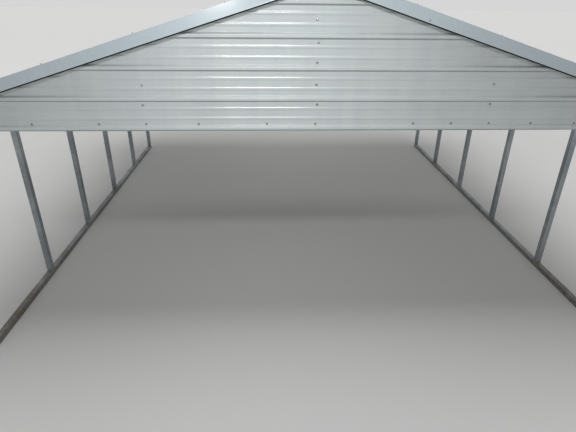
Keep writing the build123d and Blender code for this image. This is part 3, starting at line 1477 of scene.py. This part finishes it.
@dataclass
class TubeFrame(Assembly):
    """Base rails, legs, rafters, knee braces, collar ties, headers and studs, with their welds."""

    sleeve_nodes: tuple[str, ...] = ("rail_sleeves_left", "rail_sleeves_right")
    anchor_hole: float = 0.0143
    anchor_facets: int = 16
    anchor_offset: float = 0.15
    screw_heights: Pair = (0.045, 0.11)
    leg_screw: HexScrew = HexScrew(rubber_height=0.0002, squeeze=1.0)
    bead: WeldBead = WeldBead()
    bead_clearance: float = 1.6
    stud_places: tuple[int, ...] = (-1, 0, 1)
    seed: int = 11
    weld_lines: list[list[Vector]] = field(default_factory=list)

    @property
    def main_tube(self) -> BoxTube:
        """The tube of rails, legs, rafters, ties, headers and studs."""
        return BoxTube(self.plan.tube)

    @property
    def brace_tube(self) -> BoxTube:
        """The tube of the knee braces."""
        return BoxTube(self.plan.brace_tube)

    def under_rafters(self, side: Side) -> Plane:
        """Plane of one slope's rafter undersides, its normal upwards."""
        return UP * self.plan.ridge_under, self.plan.above(side)

    def tube_piece(self, bm: bmesh.types.BMesh, node: str) -> bpy.types.Object:
        """Adds a tube mesh as the piece that stands for a node."""
        return self.add(bm, f"{node}_tube", Slot.TUBE, [self.finishes.tube], [node])

    def weld(self, tube: BoxTube, start: Vector, end: Vector, across: Vector, plane: Plane) -> None:
        """Notes the weld line of a tube, from start to end, on a plane."""
        self.weld_lines.append(tube.outline_on(start, end, across, plane))

    def build(self) -> None:
        """Builds and dresses the pieces."""
        for side in Side:
            self.rail(side)
            self.braces(side)
            for number, row in enumerate(self.plan.rows, 1):
                self.leg(side, number, row)
        for number, row in enumerate(self.plan.rows, 1):
            self.rafters(number, row)
        self.collars()
        for end in End:
            self.header(end)
            self.studs(end)
        lines = [self.ground_flush(line) for line in self.weld_lines]
        beads = self.bead.along(lines, random.Random(self.seed))
        self.add(beads, "frame_welds", Slot.TUBE, [self.finishes.weld])
        self.leg_screws()
        for node in self.sleeve_nodes:
            sleeves = bpy.data.objects[node]
            sleeves.data.materials.clear()
            sleeves.data.materials.append(self.finishes.sleeve.material())

    def ground_flush(self, line: Sequence[Vector]) -> list[Vector]:
        """Weld line that is ground away where its bead would lift a gable sheet."""
        limit = self.plan.frame_face - self.bead_clearance * self.bead.radius
        return [Vector((point.x, min(max(point.y, -limit), limit), point.z)) for point in line]

    def rail(self, side: Side) -> None:
        """Base rail under one row of legs, with its anchor holes.

        Args:
            side: the row's side.
        """
        middle = Vector((side.value * self.plan.leg_x, 0.0, self.plan.tube / 2))
        reach = ALONG * self.plan.frame_face
        bm = self.main_tube.bar(middle - reach, middle + reach, side.outward)
        self.drill(self.tube_piece(bm, f"base_rail_{side.label}"), middle)

    def drill(self, rail: bpy.types.Object, middle: Vector) -> None:
        """Cuts the anchor holes beside the legs through a rail.

        Args:
            rail: the rail's piece.
            middle: the middle of the rail.
        """
        drills = bmesh.new()
        for row in self.plan.rows:
            hole_y = row - math.copysign(self.anchor_offset, row)
            bmesh.ops.create_cone(
                drills,
                cap_ends=True,
                segments=self.anchor_facets,
                radius1=self.anchor_hole / 2,
                radius2=self.anchor_hole / 2,
                depth=2 * self.plan.tube,
                matrix=Matrix.Translation(middle + ALONG * hole_y),
            )
        cutter_mesh = to_mesh(drills, "anchor_drills")
        cutter = show("anchor_drills", cutter_mesh)
        holes = rail.modifiers.new("anchor_holes", "BOOLEAN")
        holes.operation = "DIFFERENCE"
        holes.solver = "EXACT"
        holes.object = cutter
        self.apply_modifiers(rail)
        bpy.data.objects.remove(cutter)
        bpy.data.meshes.remove(cutter_mesh)

    def leg(self, side: Side, number: int, row: float) -> None:
        """Upright from the base rail to the rafter, cut to the slope.

        Args:
            side: the leg's side.
            number: its number from the front.
            row: its place along the depth.
        """
        plan = self.plan
        foot = side.outward * plan.leg_x + ALONG * row
        start = foot + UP * plan.tube
        end = foot + UP * (plan.rafter_underside(plan.leg_inner) + plan.tube)
        top = self.under_rafters(side)
        joint = foot + UP * plan.rafter_underside(plan.leg_x)
        knee = foot + UP * (self.knee_top(row) - plan.brace_reach)
        bm = self.main_tube.bar(start, end, -side.outward, [top], [joint, knee])
        self.weld(self.main_tube, start, end, -side.outward, top)
        self.tube_piece(bm, f"leg_{side.label}_{number}")

    def rafters(self, number: int, row: float) -> None:
        """The two rafters of one frame, with plumb tails cut level at the header's underside.

        Args:
            number: the frame's number from the front.
            row: its place along the depth.
        """
        plan = self.plan
        bars = []
        for side in Side:
            axes = plan.slope_axes(side)
            start = axes @ Vector((-plan.tube, row, -plan.tube / 2))
            end = axes @ Vector(((plan.tail_x + plan.tube) * plan.upright, row, -plan.tube / 2))
            ridge = facing(-side.outward, -plan.ridge_joint / 2)
            tail = facing(side.outward, plan.tail_x)
            level = facing(-UP, -plan.header_height)
            spots = [0.0, plan.leg_x, *self.spots_along(row)]
            joints = [Vector((side.value * x, row, plan.roof_height(x, -plan.tube / 2))) for x in spots]
            bars.append(self.main_tube.bar(start, end, ALONG, [ridge, tail, level], joints))
            if side is Side.RIGHT:
                self.weld(self.main_tube, end, start, ALONG, facing(-ACROSS, 0.0))
        self.tube_piece(join(bars), f"rafters_{number}")

    def spots_along(self, row: float) -> list[float]:
        """Where braces, ties or studs meet the rafters of a frame.

        Args:
            row: the frame's place along the depth.

        Returns:
            Their distances from the ridge line.
        """
        plan = self.plan
        if self.at_end(row):
            return [plan.stud_spacing]
        return [plan.leg_inner - plan.brace_reach, (plan.collar_drop + plan.tube / 2) / plan.roof_pitch]

    def at_end(self, row: float) -> bool:
        """Whether a frame is one of the two gabled ones."""
        return row in (self.plan.rows[0], self.plan.rows[-1])

    def knee_top(self, row: float) -> float:
        """Height at which the knee braces of a frame meet the member above."""
        under_rafter = self.plan.rafter_underside(self.plan.leg_inner - self.plan.brace_reach)
        return self.plan.header_height if self.at_end(row) else under_rafter

    def braces(self, side: Side) -> None:
        """Knee braces of one side, from the legs to the header or the rafters.

        Args:
            side: the side.
        """
        plan = self.plan
        bars = []
        for row in plan.rows:
            top = self.knee_top(row)
            way = Vector((-side.value, 0.0, 1.0))
            foot = Vector((side.value * plan.leg_inner, row, top - plan.brace_reach))
            head = foot + way * plan.brace_reach
            start = foot - way * plan.brace_tube
            end = head + way * plan.brace_tube
            at_leg = (foot, side.outward)
            at_top = facing(UP, top) if self.at_end(row) else self.under_rafters(side)
            bars.append(self.brace_tube.bar(start, end, ALONG, [at_leg, at_top], [foot, head]))
            self.weld(self.brace_tube, end, start, ALONG, at_leg)
            self.weld(self.brace_tube, start, end, ALONG, at_top)
        self.tube_piece(join(bars), f"knee_braces_{side.label}")

    def collars(self) -> None:
        """Level ties below the ridge of the inner frames."""
        plan = self.plan
        height = plan.ridge_under - plan.collar_drop - plan.tube / 2
        reach = (plan.collar_drop + plan.tube) / plan.roof_pitch
        meet = (plan.collar_drop + plan.tube / 2) / plan.roof_pitch
        planes = [self.under_rafters(side) for side in Side]
        bars = []
        for row in plan.rows[1:-1]:
            start, end = Vector((-reach, row, height)), Vector((reach, row, height))
            joints = [Vector((side.value * meet, row, height)) for side in Side]
            bars.append(self.main_tube.bar(start, end, ALONG, planes, joints))
            self.weld(self.main_tube, end, start, ALONG, planes[0])
            self.weld(self.main_tube, start, end, ALONG, planes[1])
        self.tube_piece(join(bars), "collar_ties")

    def header(self, end: End) -> None:
        """Level tube between the legs of an end frame.

        Args:
            end: the frame's end.
        """
        plan = self.plan
        middle = Vector((0.0, end.value * plan.frame_half, plan.header_height + plan.tube / 2))
        xs = [side.value * plan.leg_inner for side in Side]
        xs += [index * plan.stud_spacing for index in self.stud_places]
        xs += [side.value * (plan.leg_inner - plan.brace_reach) for side in Side]
        left, right = (middle + side.outward * plan.leg_inner for side in Side)
        bm = self.main_tube.bar(left, right, -end.outward, (), [middle + ACROSS * x for x in xs])
        for side in Side:
            past = middle + side.outward * (plan.leg_inner + plan.tube)
            self.weld(self.main_tube, middle, past, -end.outward, facing(side.outward, plan.leg_inner))
        self.tube_piece(bm, f"gable_header_{end.label}")

    def studs(self, end: End) -> None:
        """Upright tubes between the header and the rafters of an end frame.

        Args:
            end: the frame's end.
        """
        plan = self.plan
        bars = []
        for index in self.stud_places:
            x = index * plan.stud_spacing
            foot = ACROSS * x + end.outward * plan.frame_half
            start, top = foot + UP * plan.header_top, foot + UP * (plan.ridge_under + plan.tube)
            planes = [self.under_rafters(side) for side in Side if side.value * index >= 0]
            meet = foot + UP * plan.rafter_underside(x)
            bars.append(self.main_tube.bar(start, top, -end.outward, planes, [start, meet]))
            self.weld(self.main_tube, start - UP * plan.tube, top, -end.outward, (start, UP))
            if index:
                self.weld(self.main_tube, start, top, -end.outward, planes[0])
        self.tube_piece(join(bars), f"gable_studs_{end.label}")

    def leg_screws(self) -> None:
        """Screws that hold each leg to the sleeve inside it."""
        plan = self.plan
        spots = []
        for side in Side:
            for row in plan.rows:
                for face, way in ((plan.half_width, 1.0), (plan.leg_inner, -1.0)):
                    for height in self.screw_heights:
                        point = Vector((side.value * face, row, plan.tube + height))
                        spots.append((point, side.outward * way))
        self.fasten(spots, random.Random(self.seed), "leg_screws", Slot.TUBE, self.leg_screw)


@dataclass(frozen=True)
class RibbedProfile:
    """Section of a ribbed sheet; sizes in metres."""

    rib_height: float
    thickness: float
    lap_lift: float
    pitch: float = 0.2286
    rib_base: float = 0.046
    rib_crest: float = 0.022
    bead_height: float = 0.004
    bead_base: float = 0.028
    bead_crest: float = 0.012
    beads_per_rib: int = 2
    ribs_per_sheet: int = 4
    rib_bend: float = 0.0042
    bead_bend: float = 0.0036
    bend_segments: int = 3
    steep: float = 0.7

    @property
    def cover(self) -> float:
        """Width that one sheet covers between laps."""
        return self.ribs_per_sheet * self.pitch

    def raised(self, centre: float, height: float, base: float, crest: float) -> list[Pair]:
        """Four corners of a rib or bead."""
        places = (centre - base / 2, centre - crest / 2, centre + crest / 2, centre + base / 2)
        return list(zip(places, (0.0, height, height, 0.0)))

    def lead_rib(self, lift: float) -> list[Pair]:
        """Corners of a sheet's first rib, which laps over the sheet before when it is lifted.

        Args:
            lift: how far it is lifted.

        Returns:
            Across and up, its corners about its middle.
        """
        flank = math.atan(2 * self.rib_height / (self.rib_base - self.rib_crest))
        aside = lift * math.tan(flank / 2)
        foot = self.rib_base / 2 + lift / math.sin(flank)
        crest = self.rib_crest / 2 + aside
        height = self.rib_height + lift
        return [(-self.rib_base / 2 - aside, lift), (-crest, height), (crest, height), (foot, 0.0)]

    def sheet(self, length: float, laps_over: bool) -> bmesh.types.BMesh:
        """One sheet, from its first rib's middle at local X zero.

        Args:
            length: how far the ribs run.
            laps_over: whether its first rib lies over the sheet before.

        Returns:
            The underside of the sheet as a mesh one face thick, with its bends rounded.
        """
        lead = self.lead_rib(self.lap_lift if laps_over else 0.0)
        step = self.pitch / (self.beads_per_rib + 1)
        repeat = [(self.rib_base / 2, 0.0)]
        for bead in range(1, self.beads_per_rib + 1):
            repeat += self.raised(bead * step, self.bead_height, self.bead_base, self.bead_crest)
        repeat += self.raised(self.pitch, self.rib_height, self.rib_base, self.rib_crest)
        bm = folded_strip(repeat, length)
        pattern = bm.verts[:] + bm.edges[:] + bm.faces[:]
        for index in range(1, self.ribs_per_sheet):
            shift(bm, bmesh.ops.duplicate(bm, geom=pattern)["geom"], (index * self.pitch, 0.0, 0.0))
        start = [vert for vert in bm.verts if abs(vert.co.x - self.rib_base / 2) < SAME_PLACE]
        shift(bm, start, (lead[-1][0] - self.rib_base / 2, 0.0, 0.0))
        bm = join([bm, folded_strip(lead, length)])
        bmesh.ops.remove_doubles(bm, verts=bm.verts[:], dist=MERGE_DISTANCE)
        round_bends(bm, self.bead_bend, self.bend_segments, most=self.steep)
        round_bends(bm, self.rib_bend, self.bend_segments, least=self.steep)
        return bm


@dataclass
class Cladding(Assembly):
    """Painted sheet: ribbed sheets or folded trims, with the wash coat on their hidden sides."""

    bend_segments: int = 3
    turned_away: float = -0.2

    @property
    def profile(self) -> RibbedProfile:
        """Section of the ribbed sheets."""
        return RibbedProfile(self.plan.rib_height, self.plan.sheet_thickness, self.plan.lap_lift)

    def coat_back(self, bm: bmesh.types.BMesh, outward: Vector) -> None:
        """Gives the faces that turn away from a direction the second finish.

        Args:
            bm: the mesh of the sheet.
            outward: the direction that its painted side turns to.
        """
        bm.normal_update()
        for face in bm.faces:
            face.material_index = 1 if face.normal.dot(outward) < self.turned_away else 0

    def clad(self, bm: bmesh.types.BMesh, kind: str, slot: Slot, finish: Finish, node: str) -> None:
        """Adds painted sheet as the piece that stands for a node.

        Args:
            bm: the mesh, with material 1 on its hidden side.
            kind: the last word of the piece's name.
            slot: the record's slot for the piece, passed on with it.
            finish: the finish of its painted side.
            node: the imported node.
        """
        self.add(bm, f"{node}_{kind}", slot, [finish, self.finishes.backer], [node])


@dataclass
class Gables(Cladding):
    """Level-ribbed sheets on both gables and their screws.

    The front screws stand where the photograph shows them; beyond its edges, and at the rear, the rows go on.
    """

    bottom_row: tuple[float, ...] = (
        -3.14, -2.70, -2.235, -1.72, -1.352, -0.94, -0.40, -0.013,
        0.785, 1.096, 1.41, 1.76, 2.128, 2.58, 3.13,
    )
    columns: tuple[Pair, ...] = (
        (-1.36, 0.203), (-1.348, 0.352),
        (-0.003, 0.207), (-0.014, 0.358), (-0.013, 0.520), (-0.010, 0.664), (-0.024, 0.820),
        (1.388, 0.208), (1.388, 0.365),
    )
    bottom_rise: float = 0.0535
    rear_stray: float = 0.012
    seed: int = 23

    def build(self) -> None:
        """Builds and dresses the pieces."""
        for end in End:
            for tier, tier_name in enumerate(("lower", "upper")):
                self.sheet(end, tier, f"gable_sheet_{end.label}_{tier_name}")
            self.screws(end)

    def sheet(self, end: End, tier: int, node: str) -> None:
        """One tier of sheets, cut to the roof's slope.

        Args:
            end: the gable's end.
            tier: 0 for the lower tier and 1 for the upper one.
            node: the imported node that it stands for.
        """
        plan = self.plan
        reach = plan.tail_x - plan.edge_clearance
        bm = self.profile.sheet(2 * reach, tier > 0)
        low = plan.header_height + self.profile.rib_base / 2 + tier * self.profile.cover
        corner = Vector((-reach, end.value * plan.frame_face, low))
        place(bm, axes_matrix(UP, ACROSS, end.outward, corner))
        peak = UP * (plan.roof_height(0.0, 0.0) - plan.edge_clearance)
        for side in Side:
            divide(bm, (peak, plan.above(side)), clear=True)
        thicken(bm, self.profile.thickness)
        self.coat_back(bm, end.outward)
        self.clad(bm, "ribs", Slot.SHEET, self.finishes.gable, node)

    def screws(self, end: End) -> None:
        """Screws into the header and the studs of one gable.

        Args:
            end: the gable's end.
        """
        rng = random.Random(self.seed + end.value)
        face = end.value * (self.plan.frame_face + self.profile.thickness)
        places = [*((x, self.bottom_rise) for x in self.bottom_row), *self.columns]
        if end is End.REAR:
            places = [(-x + rng.uniform(-self.rear_stray, self.rear_stray), rise) for x, rise in places]
        spots = [(Vector((x, face, self.plan.header_height + rise)), end.outward) for x, rise in places]
        self.fasten(spots, rng, f"gable_screws_{end.label}", Slot.SHEET)


@dataclass
class Roof(Cladding):
    """Hat purlins, ribbed sheets and ridge cap."""

    purlin_rows: int = 4
    purlin_crown: float = 0.038
    purlin_foot: float = 0.02
    purlin_flare: float = 0.006
    purlin_thickness: float = 0.0012
    purlin_bend: float = 0.0022
    purlin_ridge_inset: float = 0.15
    purlin_eave_inset: float = 0.07
    purlin_screw: HexScrew = HexScrew(washer_radius=0.0058, rubber_height=0.0002, squeeze=1.0)
    sheet_ridge_inset: float = 0.02
    cap_reach: float = 0.17
    cap_metal: float = 0.0004
    cap_gap: float = 1.2
    cap_hem: float = 0.012
    cap_lengths: int = 3
    cap_lap: float = 0.12
    ridge_bend: float = 0.012
    ridge_segments: int = 4
    steepest_fold: float = 3.0
    screw_aside: float = 0.0415
    cap_screw_inset: float = 0.035
    stray_along: float = 0.003
    stray_down: float = 0.006
    seed: int = 37

    def build(self) -> None:
        """Builds and dresses the pieces."""
        for side in Side:
            self.purlins(side)
            self.sheets(side)
            self.sheet_screws(side)
        self.cap()
        self.cap_screws()

    @property
    def purlin_places(self) -> list[float]:
        """Distances of the purlins from the ridge line."""
        last = self.plan.tail_x - self.purlin_eave_inset
        step = (last - self.purlin_ridge_inset) / (self.purlin_rows - 1)
        return [self.purlin_ridge_inset + index * step for index in range(self.purlin_rows)]

    @property
    def rib_places(self) -> list[float]:
        """Places of the roof's ribs along the depth."""
        first = self.profile.rib_base / 2 - self.plan.sheet_end
        count = int((2 * self.plan.sheet_end - self.profile.rib_base) / self.profile.pitch) + 1
        return [first + index * self.profile.pitch for index in range(count)]

    def purlins(self, side: Side) -> None:
        """Hat-section purlins of one slope and the screws through their feet.

        Args:
            side: the slope's side.
        """
        plan = self.plan
        crown = self.purlin_crown / 2
        web = crown + self.purlin_flare
        edge = web + self.purlin_foot
        rise = plan.purlin_depth - self.purlin_thickness
        line = [(-edge, 0.0), (-web, 0.0), (-crown, rise), (crown, rise), (web, 0.0), (edge, 0.0)]
        axes = plan.slope_axes(side)
        hats, spots = [], []
        for x in self.purlin_places:
            hat = folded_strip(line, 2 * plan.sheet_end)
            round_bends(hat, self.purlin_bend, self.bend_segments)
            down = x * plan.upright
            place(hat, axes @ Matrix.Translation((down, -plan.sheet_end, 0.0)))
            thicken(hat, self.purlin_thickness)
            hats.append(hat)
            for row in plan.rows:
                for way in (-1, 1):
                    foot = Vector((down + way * (web + self.purlin_foot / 2), row, self.purlin_thickness))
                    spots.append((axes @ foot, plan.above(side)))
        name = f"purlins_{side.label}"
        self.add(join(hats), f"{name}_hats", Slot.PURLIN, [self.finishes.purlin], [name])
        self.fasten(spots, random.Random(self.seed), f"{name}_screws", Slot.PURLIN, self.purlin_screw)

    def sheets(self, side: Side) -> None:
        """Ribbed sheets of one slope, each lapping over the one before.

        Args:
            side: the slope's side.
        """
        plan = self.plan
        first = self.rib_places[0]
        count = math.ceil((2 * plan.sheet_end - self.profile.rib_base) / self.profile.cover)
        axes = plan.slope_axes(side)
        half_length = plan.sheet_end - self.profile.thickness
        edges = [
            facing(-side.outward, -self.sheet_ridge_inset),
            facing(side.outward, plan.sheet_tail),
            facing(ALONG, half_length),
            facing(-ALONG, half_length),
        ]
        parts = []
        for index in range(count):
            sheet = self.profile.sheet((plan.sheet_tail + plan.tube) * plan.upright, index > 0)
            corner = axes @ Vector((0.0, first + index * self.profile.cover, plan.purlin_depth))
            place(sheet, axes_matrix(ALONG, plan.down(side), plan.above(side), corner))
            for plane in edges:
                divide(sheet, plane, clear=True)
            thicken(sheet, self.profile.thickness)
            self.coat_back(sheet, plan.above(side))
            parts.append(sheet)
        self.clad(join(parts), "ribs", Slot.SHEET, self.finishes.roof, f"roof_sheets_{side.label}")

    def sheet_screws(self, side: Side) -> None:
        """Screws through the sheets into each purlin, beside every rib.

        Args:
            side: the slope's side.
        """
        rng = random.Random(self.seed + side.value)
        axes = self.plan.slope_axes(side)
        rise = self.plan.purlin_depth + self.profile.thickness
        spots = []
        for x in self.purlin_places[1:]:
            for rib in self.rib_places:
                aside = rib + self.screw_aside + rng.uniform(-self.stray_along, self.stray_along)
                down = x * self.plan.upright + rng.uniform(-self.stray_down, self.stray_down)
                spots.append((axes @ Vector((down, aside, rise)), self.plan.above(side)))
        self.fasten(spots, rng, f"roof_screws_{side.label}", Slot.SHEET)

    def cap(self) -> None:
        """Folded ridge cap in lapped lengths, with hemmed edges."""
        plan = self.plan
        metal = self.cap_metal
        top = plan.rib_top + 2 * plan.trim_thickness - metal
        under = plan.rib_top + plan.trim_thickness + self.cap_gap * metal
        fold = self.cap_reach - self.cap_hem
        run = 2 * plan.rake_face / self.cap_lengths
        parts = []
        for index in range(self.cap_lengths):
            lift = (index % 2) * self.cap_gap * metal
            half = [(fold, under), (self.cap_reach, under), (self.cap_reach, top)]
            line = [(-x, plan.roof_height(x, rise + lift)) for x, rise in half]
            line += [(0.0, plan.roof_height(0.0, top + lift))]
            line += [(x, plan.roof_height(x, rise + lift)) for x, rise in reversed(half)]
            lap = self.cap_lap / 2 if lift else 0.0
            length = folded_strip(line, run + 2 * lap)
            round_bends(length, self.ridge_bend, self.ridge_segments, most=self.steepest_fold * plan.slope)
            place(length, Matrix.Translation((0.0, index * run - plan.rake_face - lap, 0.0)))
            thicken(length, metal)
            self.coat_back(length, UP)
            parts.append(length)
        self.clad(join(parts), "lengths", Slot.TRIM, self.finishes.trim, "ridge_cap")

    def cap_screws(self) -> None:
        """Screws through the ridge cap into each rib."""
        rng = random.Random(self.seed)
        down = (self.cap_reach - self.cap_screw_inset) * self.plan.upright
        rise = self.plan.rib_top + 2 * self.plan.trim_thickness
        spots = []
        for side in Side:
            axes = self.plan.slope_axes(side)
            for rib in self.rib_places:
                along = rib + rng.uniform(-self.stray_along, self.stray_along)
                spots.append((axes @ Vector((down, along, rise)), self.plan.above(side)))
        self.fasten(spots, rng, "ridge_cap_screws", Slot.TRIM)


@dataclass
class Trims(Cladding):
    """Folded trims down the gables and along the eaves."""

    metal: float = 0.0005
    rake_drop: float = 0.103
    rake_flange: float = 0.075
    rake_hem: float = 0.012
    rake_lip: float = 0.005
    kick: float = 0.0014
    kick_height: float = 0.017
    tuck_height: float = 0.012
    bend: float = 0.003
    eave_return: float = 0.06
    eave_paint_down: float = 0.6
    flange_screws: tuple[float, ...] = (0.30, 0.674, 1.339, 2.03, 2.69, 3.28)
    flange_screw_inset: float = 0.022
    face_screws: tuple[float, ...] = (-3.06, 0.797, 3.06)
    face_screw_drop: float = 0.068
    eave_screw_rise: float = 0.024
    screw: HexScrew = HexScrew(rubber_height=0.0006, squeeze=1.0)
    seed: int = 41

    def build(self) -> None:
        """Builds and dresses the pieces."""
        for side in Side:
            self.eave(side)
            for end in End:
                self.rake(end, side)
        self.screws()

    def rake(self, end: End, side: Side) -> None:
        """Trim down one slope of a gable: flange, face with a kicked and tucked edge, hem and lip.

        Args:
            end: the gable's end.
            side: the slope's side.
        """
        plan = self.plan
        top = plan.rib_top + plan.trim_thickness
        foot = top - self.rake_drop / plan.upright
        face = plan.rake_face - self.metal
        line = [
            (plan.rake_face - self.rake_flange, top - self.metal),
            (face - self.kick, top - self.metal),
            (face - self.kick, foot + self.kick_height),
            (face, foot + self.tuck_height),
            (plan.rake_face - self.rake_hem, foot + self.metal),
            (plan.rake_face - self.rake_hem, foot + self.metal + self.rake_lip),
        ]
        bm = folded_strip(line, (plan.sheet_tail + plan.tube) * plan.upright)
        round_bends(bm, self.bend, self.bend_segments)
        corner = plan.slope_axes(side) @ Vector((-plan.tube, 0.0, 0.0))
        place(bm, axes_matrix(end.outward, plan.down(side), plan.above(side), corner))
        divide(bm, facing(-side.outward, -plan.ridge_joint / 2), clear=True)
        divide(bm, facing(side.outward, plan.sheet_tail), clear=True)
        thicken(bm, self.metal)
        self.coat_back(bm, end.outward + plan.above(side))
        self.clad(bm, "fold", Slot.TRIM, self.finishes.trim, f"rake_trim_{end.label}_{side.label}")

    def eave(self, side: Side) -> None:
        """Trim along one eave: a face on the rafter tails and a return under them.

        Args:
            side: the eave's side.
        """
        plan = self.plan
        top = plan.roof_height(plan.tail_x + plan.trim_thickness, plan.purlin_depth) - plan.edge_clearance
        inner = plan.tail_x - self.eave_return
        line = [(plan.tail_x, top), (plan.tail_x, plan.header_height), (inner, plan.header_height)]
        length = plan.rake_face - self.rake_hem - plan.edge_clearance
        bm = folded_strip(line, 2 * length)
        round_bends(bm, self.bend, self.bend_segments)
        place(bm, axes_matrix(side.outward, ALONG, UP, ALONG * -length))
        thicken(bm, self.metal)
        self.coat_back(bm, side.outward - UP * self.eave_paint_down)
        self.clad(bm, "fold", Slot.TRIM, self.finishes.trim, f"eave_trim_{side.label}")

    def screws(self) -> None:
        """Screws on the rake trims' flanges and faces and on the eave trims."""
        plan = self.plan
        top = plan.rib_top + plan.trim_thickness
        spots = []
        for side in Side:
            axes = plan.slope_axes(side)
            for end in End:
                for x in self.flange_screws:
                    along = end.value * (plan.rake_face - self.flange_screw_inset)
                    spots.append((axes @ Vector((x * plan.upright, along, top)), plan.above(side)))
                for x in (abs(x) for x in self.face_screws if x * side.value > 0):
                    along = end.value * (plan.rake_face - self.kick)
                    at = Vector((x * plan.upright, along, top - self.face_screw_drop))
                    spots.append((axes @ at, end.outward))
            for row in plan.rows:
                aside = side.value * (plan.tail_x + self.metal)
                spots.append((Vector((aside, row, plan.header_height + self.eave_screw_rise)), side.outward))
        self.fasten(spots, random.Random(self.seed), "trim_screws", Slot.TRIM, self.screw)


# Studio
@dataclass(frozen=True)
class Lamp:
    """Soft rectangular light; metres, watts and degrees."""

    name: str
    place: Triple
    target: Triple
    size: Pair
    power: float
    spread: float

    def hang(self) -> None:
        """Makes the lamp and turns it to its target."""
        data = bpy.data.lights.new(self.name, "AREA")
        data.energy = self.power
        data.shape = "RECTANGLE"
        data.size, data.size_y = self.size
        data.spread = math.radians(self.spread)
        lamp = show(self.name, data)
        lamp.location = self.place
        lamp.rotation_euler = (Vector(self.target) - Vector(self.place)).to_track_quat("-Z", "Y").to_euler()
        lamp.visible_camera = False


@dataclass
class Studio:
    """Pale floor, soft lights and the camera at the photograph's viewing angle; metres and degrees."""

    floor_finish: Finish
    floor_reach: float = 160.0
    floor_drop: float = 0.0005
    sky: float = 0.26
    backdrop: float = 0.84
    lamps: tuple[Lamp, ...] = (
        Lamp("high_key_light", (-0.5, -6.3, 4.5), (-0.4, -3.33, 2.75), (1.3, 0.22), 14.5, 84.0),
        Lamp("low_key_light", (-1.1, -6.85, 3.2), (-0.6, -3.33, 2.9), (0.5, 0.22), 3.2, 100.0),
        Lamp("rear_light", (0.4, 6.9, 4.6), (0.2, 3.33, 2.75), (2.2, 0.5), 13.0, 84.0),
        Lamp("top_light", (0.0, -0.9, 9.5), (0.0, 0.0, 0.0), (9.0, 9.0), 700.0, 180.0),
    )
    eye: Triple = (-0.396, -6.85475, 3.154)
    yaw: float = -2.79
    pitch: float = 26.02
    roll: float = 0.563
    focal: float = 444.9
    image_width: float = 576.0
    sensor: float = 36.0
    far: float = 500.0

    def build(self) -> None:
        """Makes the floor, the world, the lamps and the camera."""
        self.floor()
        self.world()
        for lamp in self.lamps:
            lamp.hang()
        self.camera()

    def floor(self) -> None:
        """Large level floor just under the base rails."""
        bm = bmesh.new()
        bmesh.ops.create_grid(bm, x_segments=1, y_segments=1, size=self.floor_reach)
        place(bm, Matrix.Translation(UP * -self.floor_drop))
        floor = show("studio_floor", to_mesh(bm, "studio_floor"))
        floor.data.materials.append(self.floor_finish.material())

    def world(self) -> None:
        """Even light from all round, with a pale backdrop for the camera and for reflections."""
        world = bpy.data.worlds.new("studio_world")
        bpy.context.scene.world = world
        g = Graph(world)
        rays = g.node("LightPath").outputs
        seen = g.largest(*(rays[f"Is {kind} Ray"] for kind in ("Camera", "Glossy", "Transmission")))
        mix = g.node("MixShader", Fac=seen)
        for socket, strength in zip(mix.inputs[1:], (self.sky, self.backdrop)):
            g.put(socket, g.node("Background", Strength=strength).outputs[0])
        g.node("OutputWorld", Surface=mix.outputs[0])

    def camera(self) -> None:
        """Camera with the place, angle and lens that were fitted to the photograph."""
        yaw, pitch, roll = (math.radians(angle) for angle in (self.yaw, self.pitch, self.roll))
        ahead = Vector((-math.sin(yaw) * math.cos(pitch), math.cos(yaw) * math.cos(pitch), -math.sin(pitch)))
        level = Vector((math.cos(yaw), math.sin(yaw), 0.0))
        upward = level.cross(ahead)
        right = math.cos(roll) * level + math.sin(roll) * upward
        up = math.cos(roll) * upward - math.sin(roll) * level
        data = bpy.data.cameras.new("photo_camera")
        data.sensor_width = self.sensor
        data.lens = self.sensor * self.focal / self.image_width
        data.clip_end = self.far
        camera = show("photo_camera", data)
        camera.matrix_world = axes_matrix(right, up, -ahead, Vector(self.eye))
        bpy.context.scene.camera = camera


def main() -> None:
    """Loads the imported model, builds every sub-assembly and the studio."""
    logging.basicConfig(level=logging.INFO, format="%(message)s")
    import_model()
    bpy.context.scene.view_settings.view_transform = "Standard"
    plan, finishes = Plan(), Finishes()
    for kind in (TubeFrame, Gables, Roof, Trims):
        assembly = kind(plan, finishes)
        assembly.build()
        assembly.report()
    Studio(finishes.floor).build()
    bpy.context.view_layer.update()


if __name__ == "__main__":
    main()
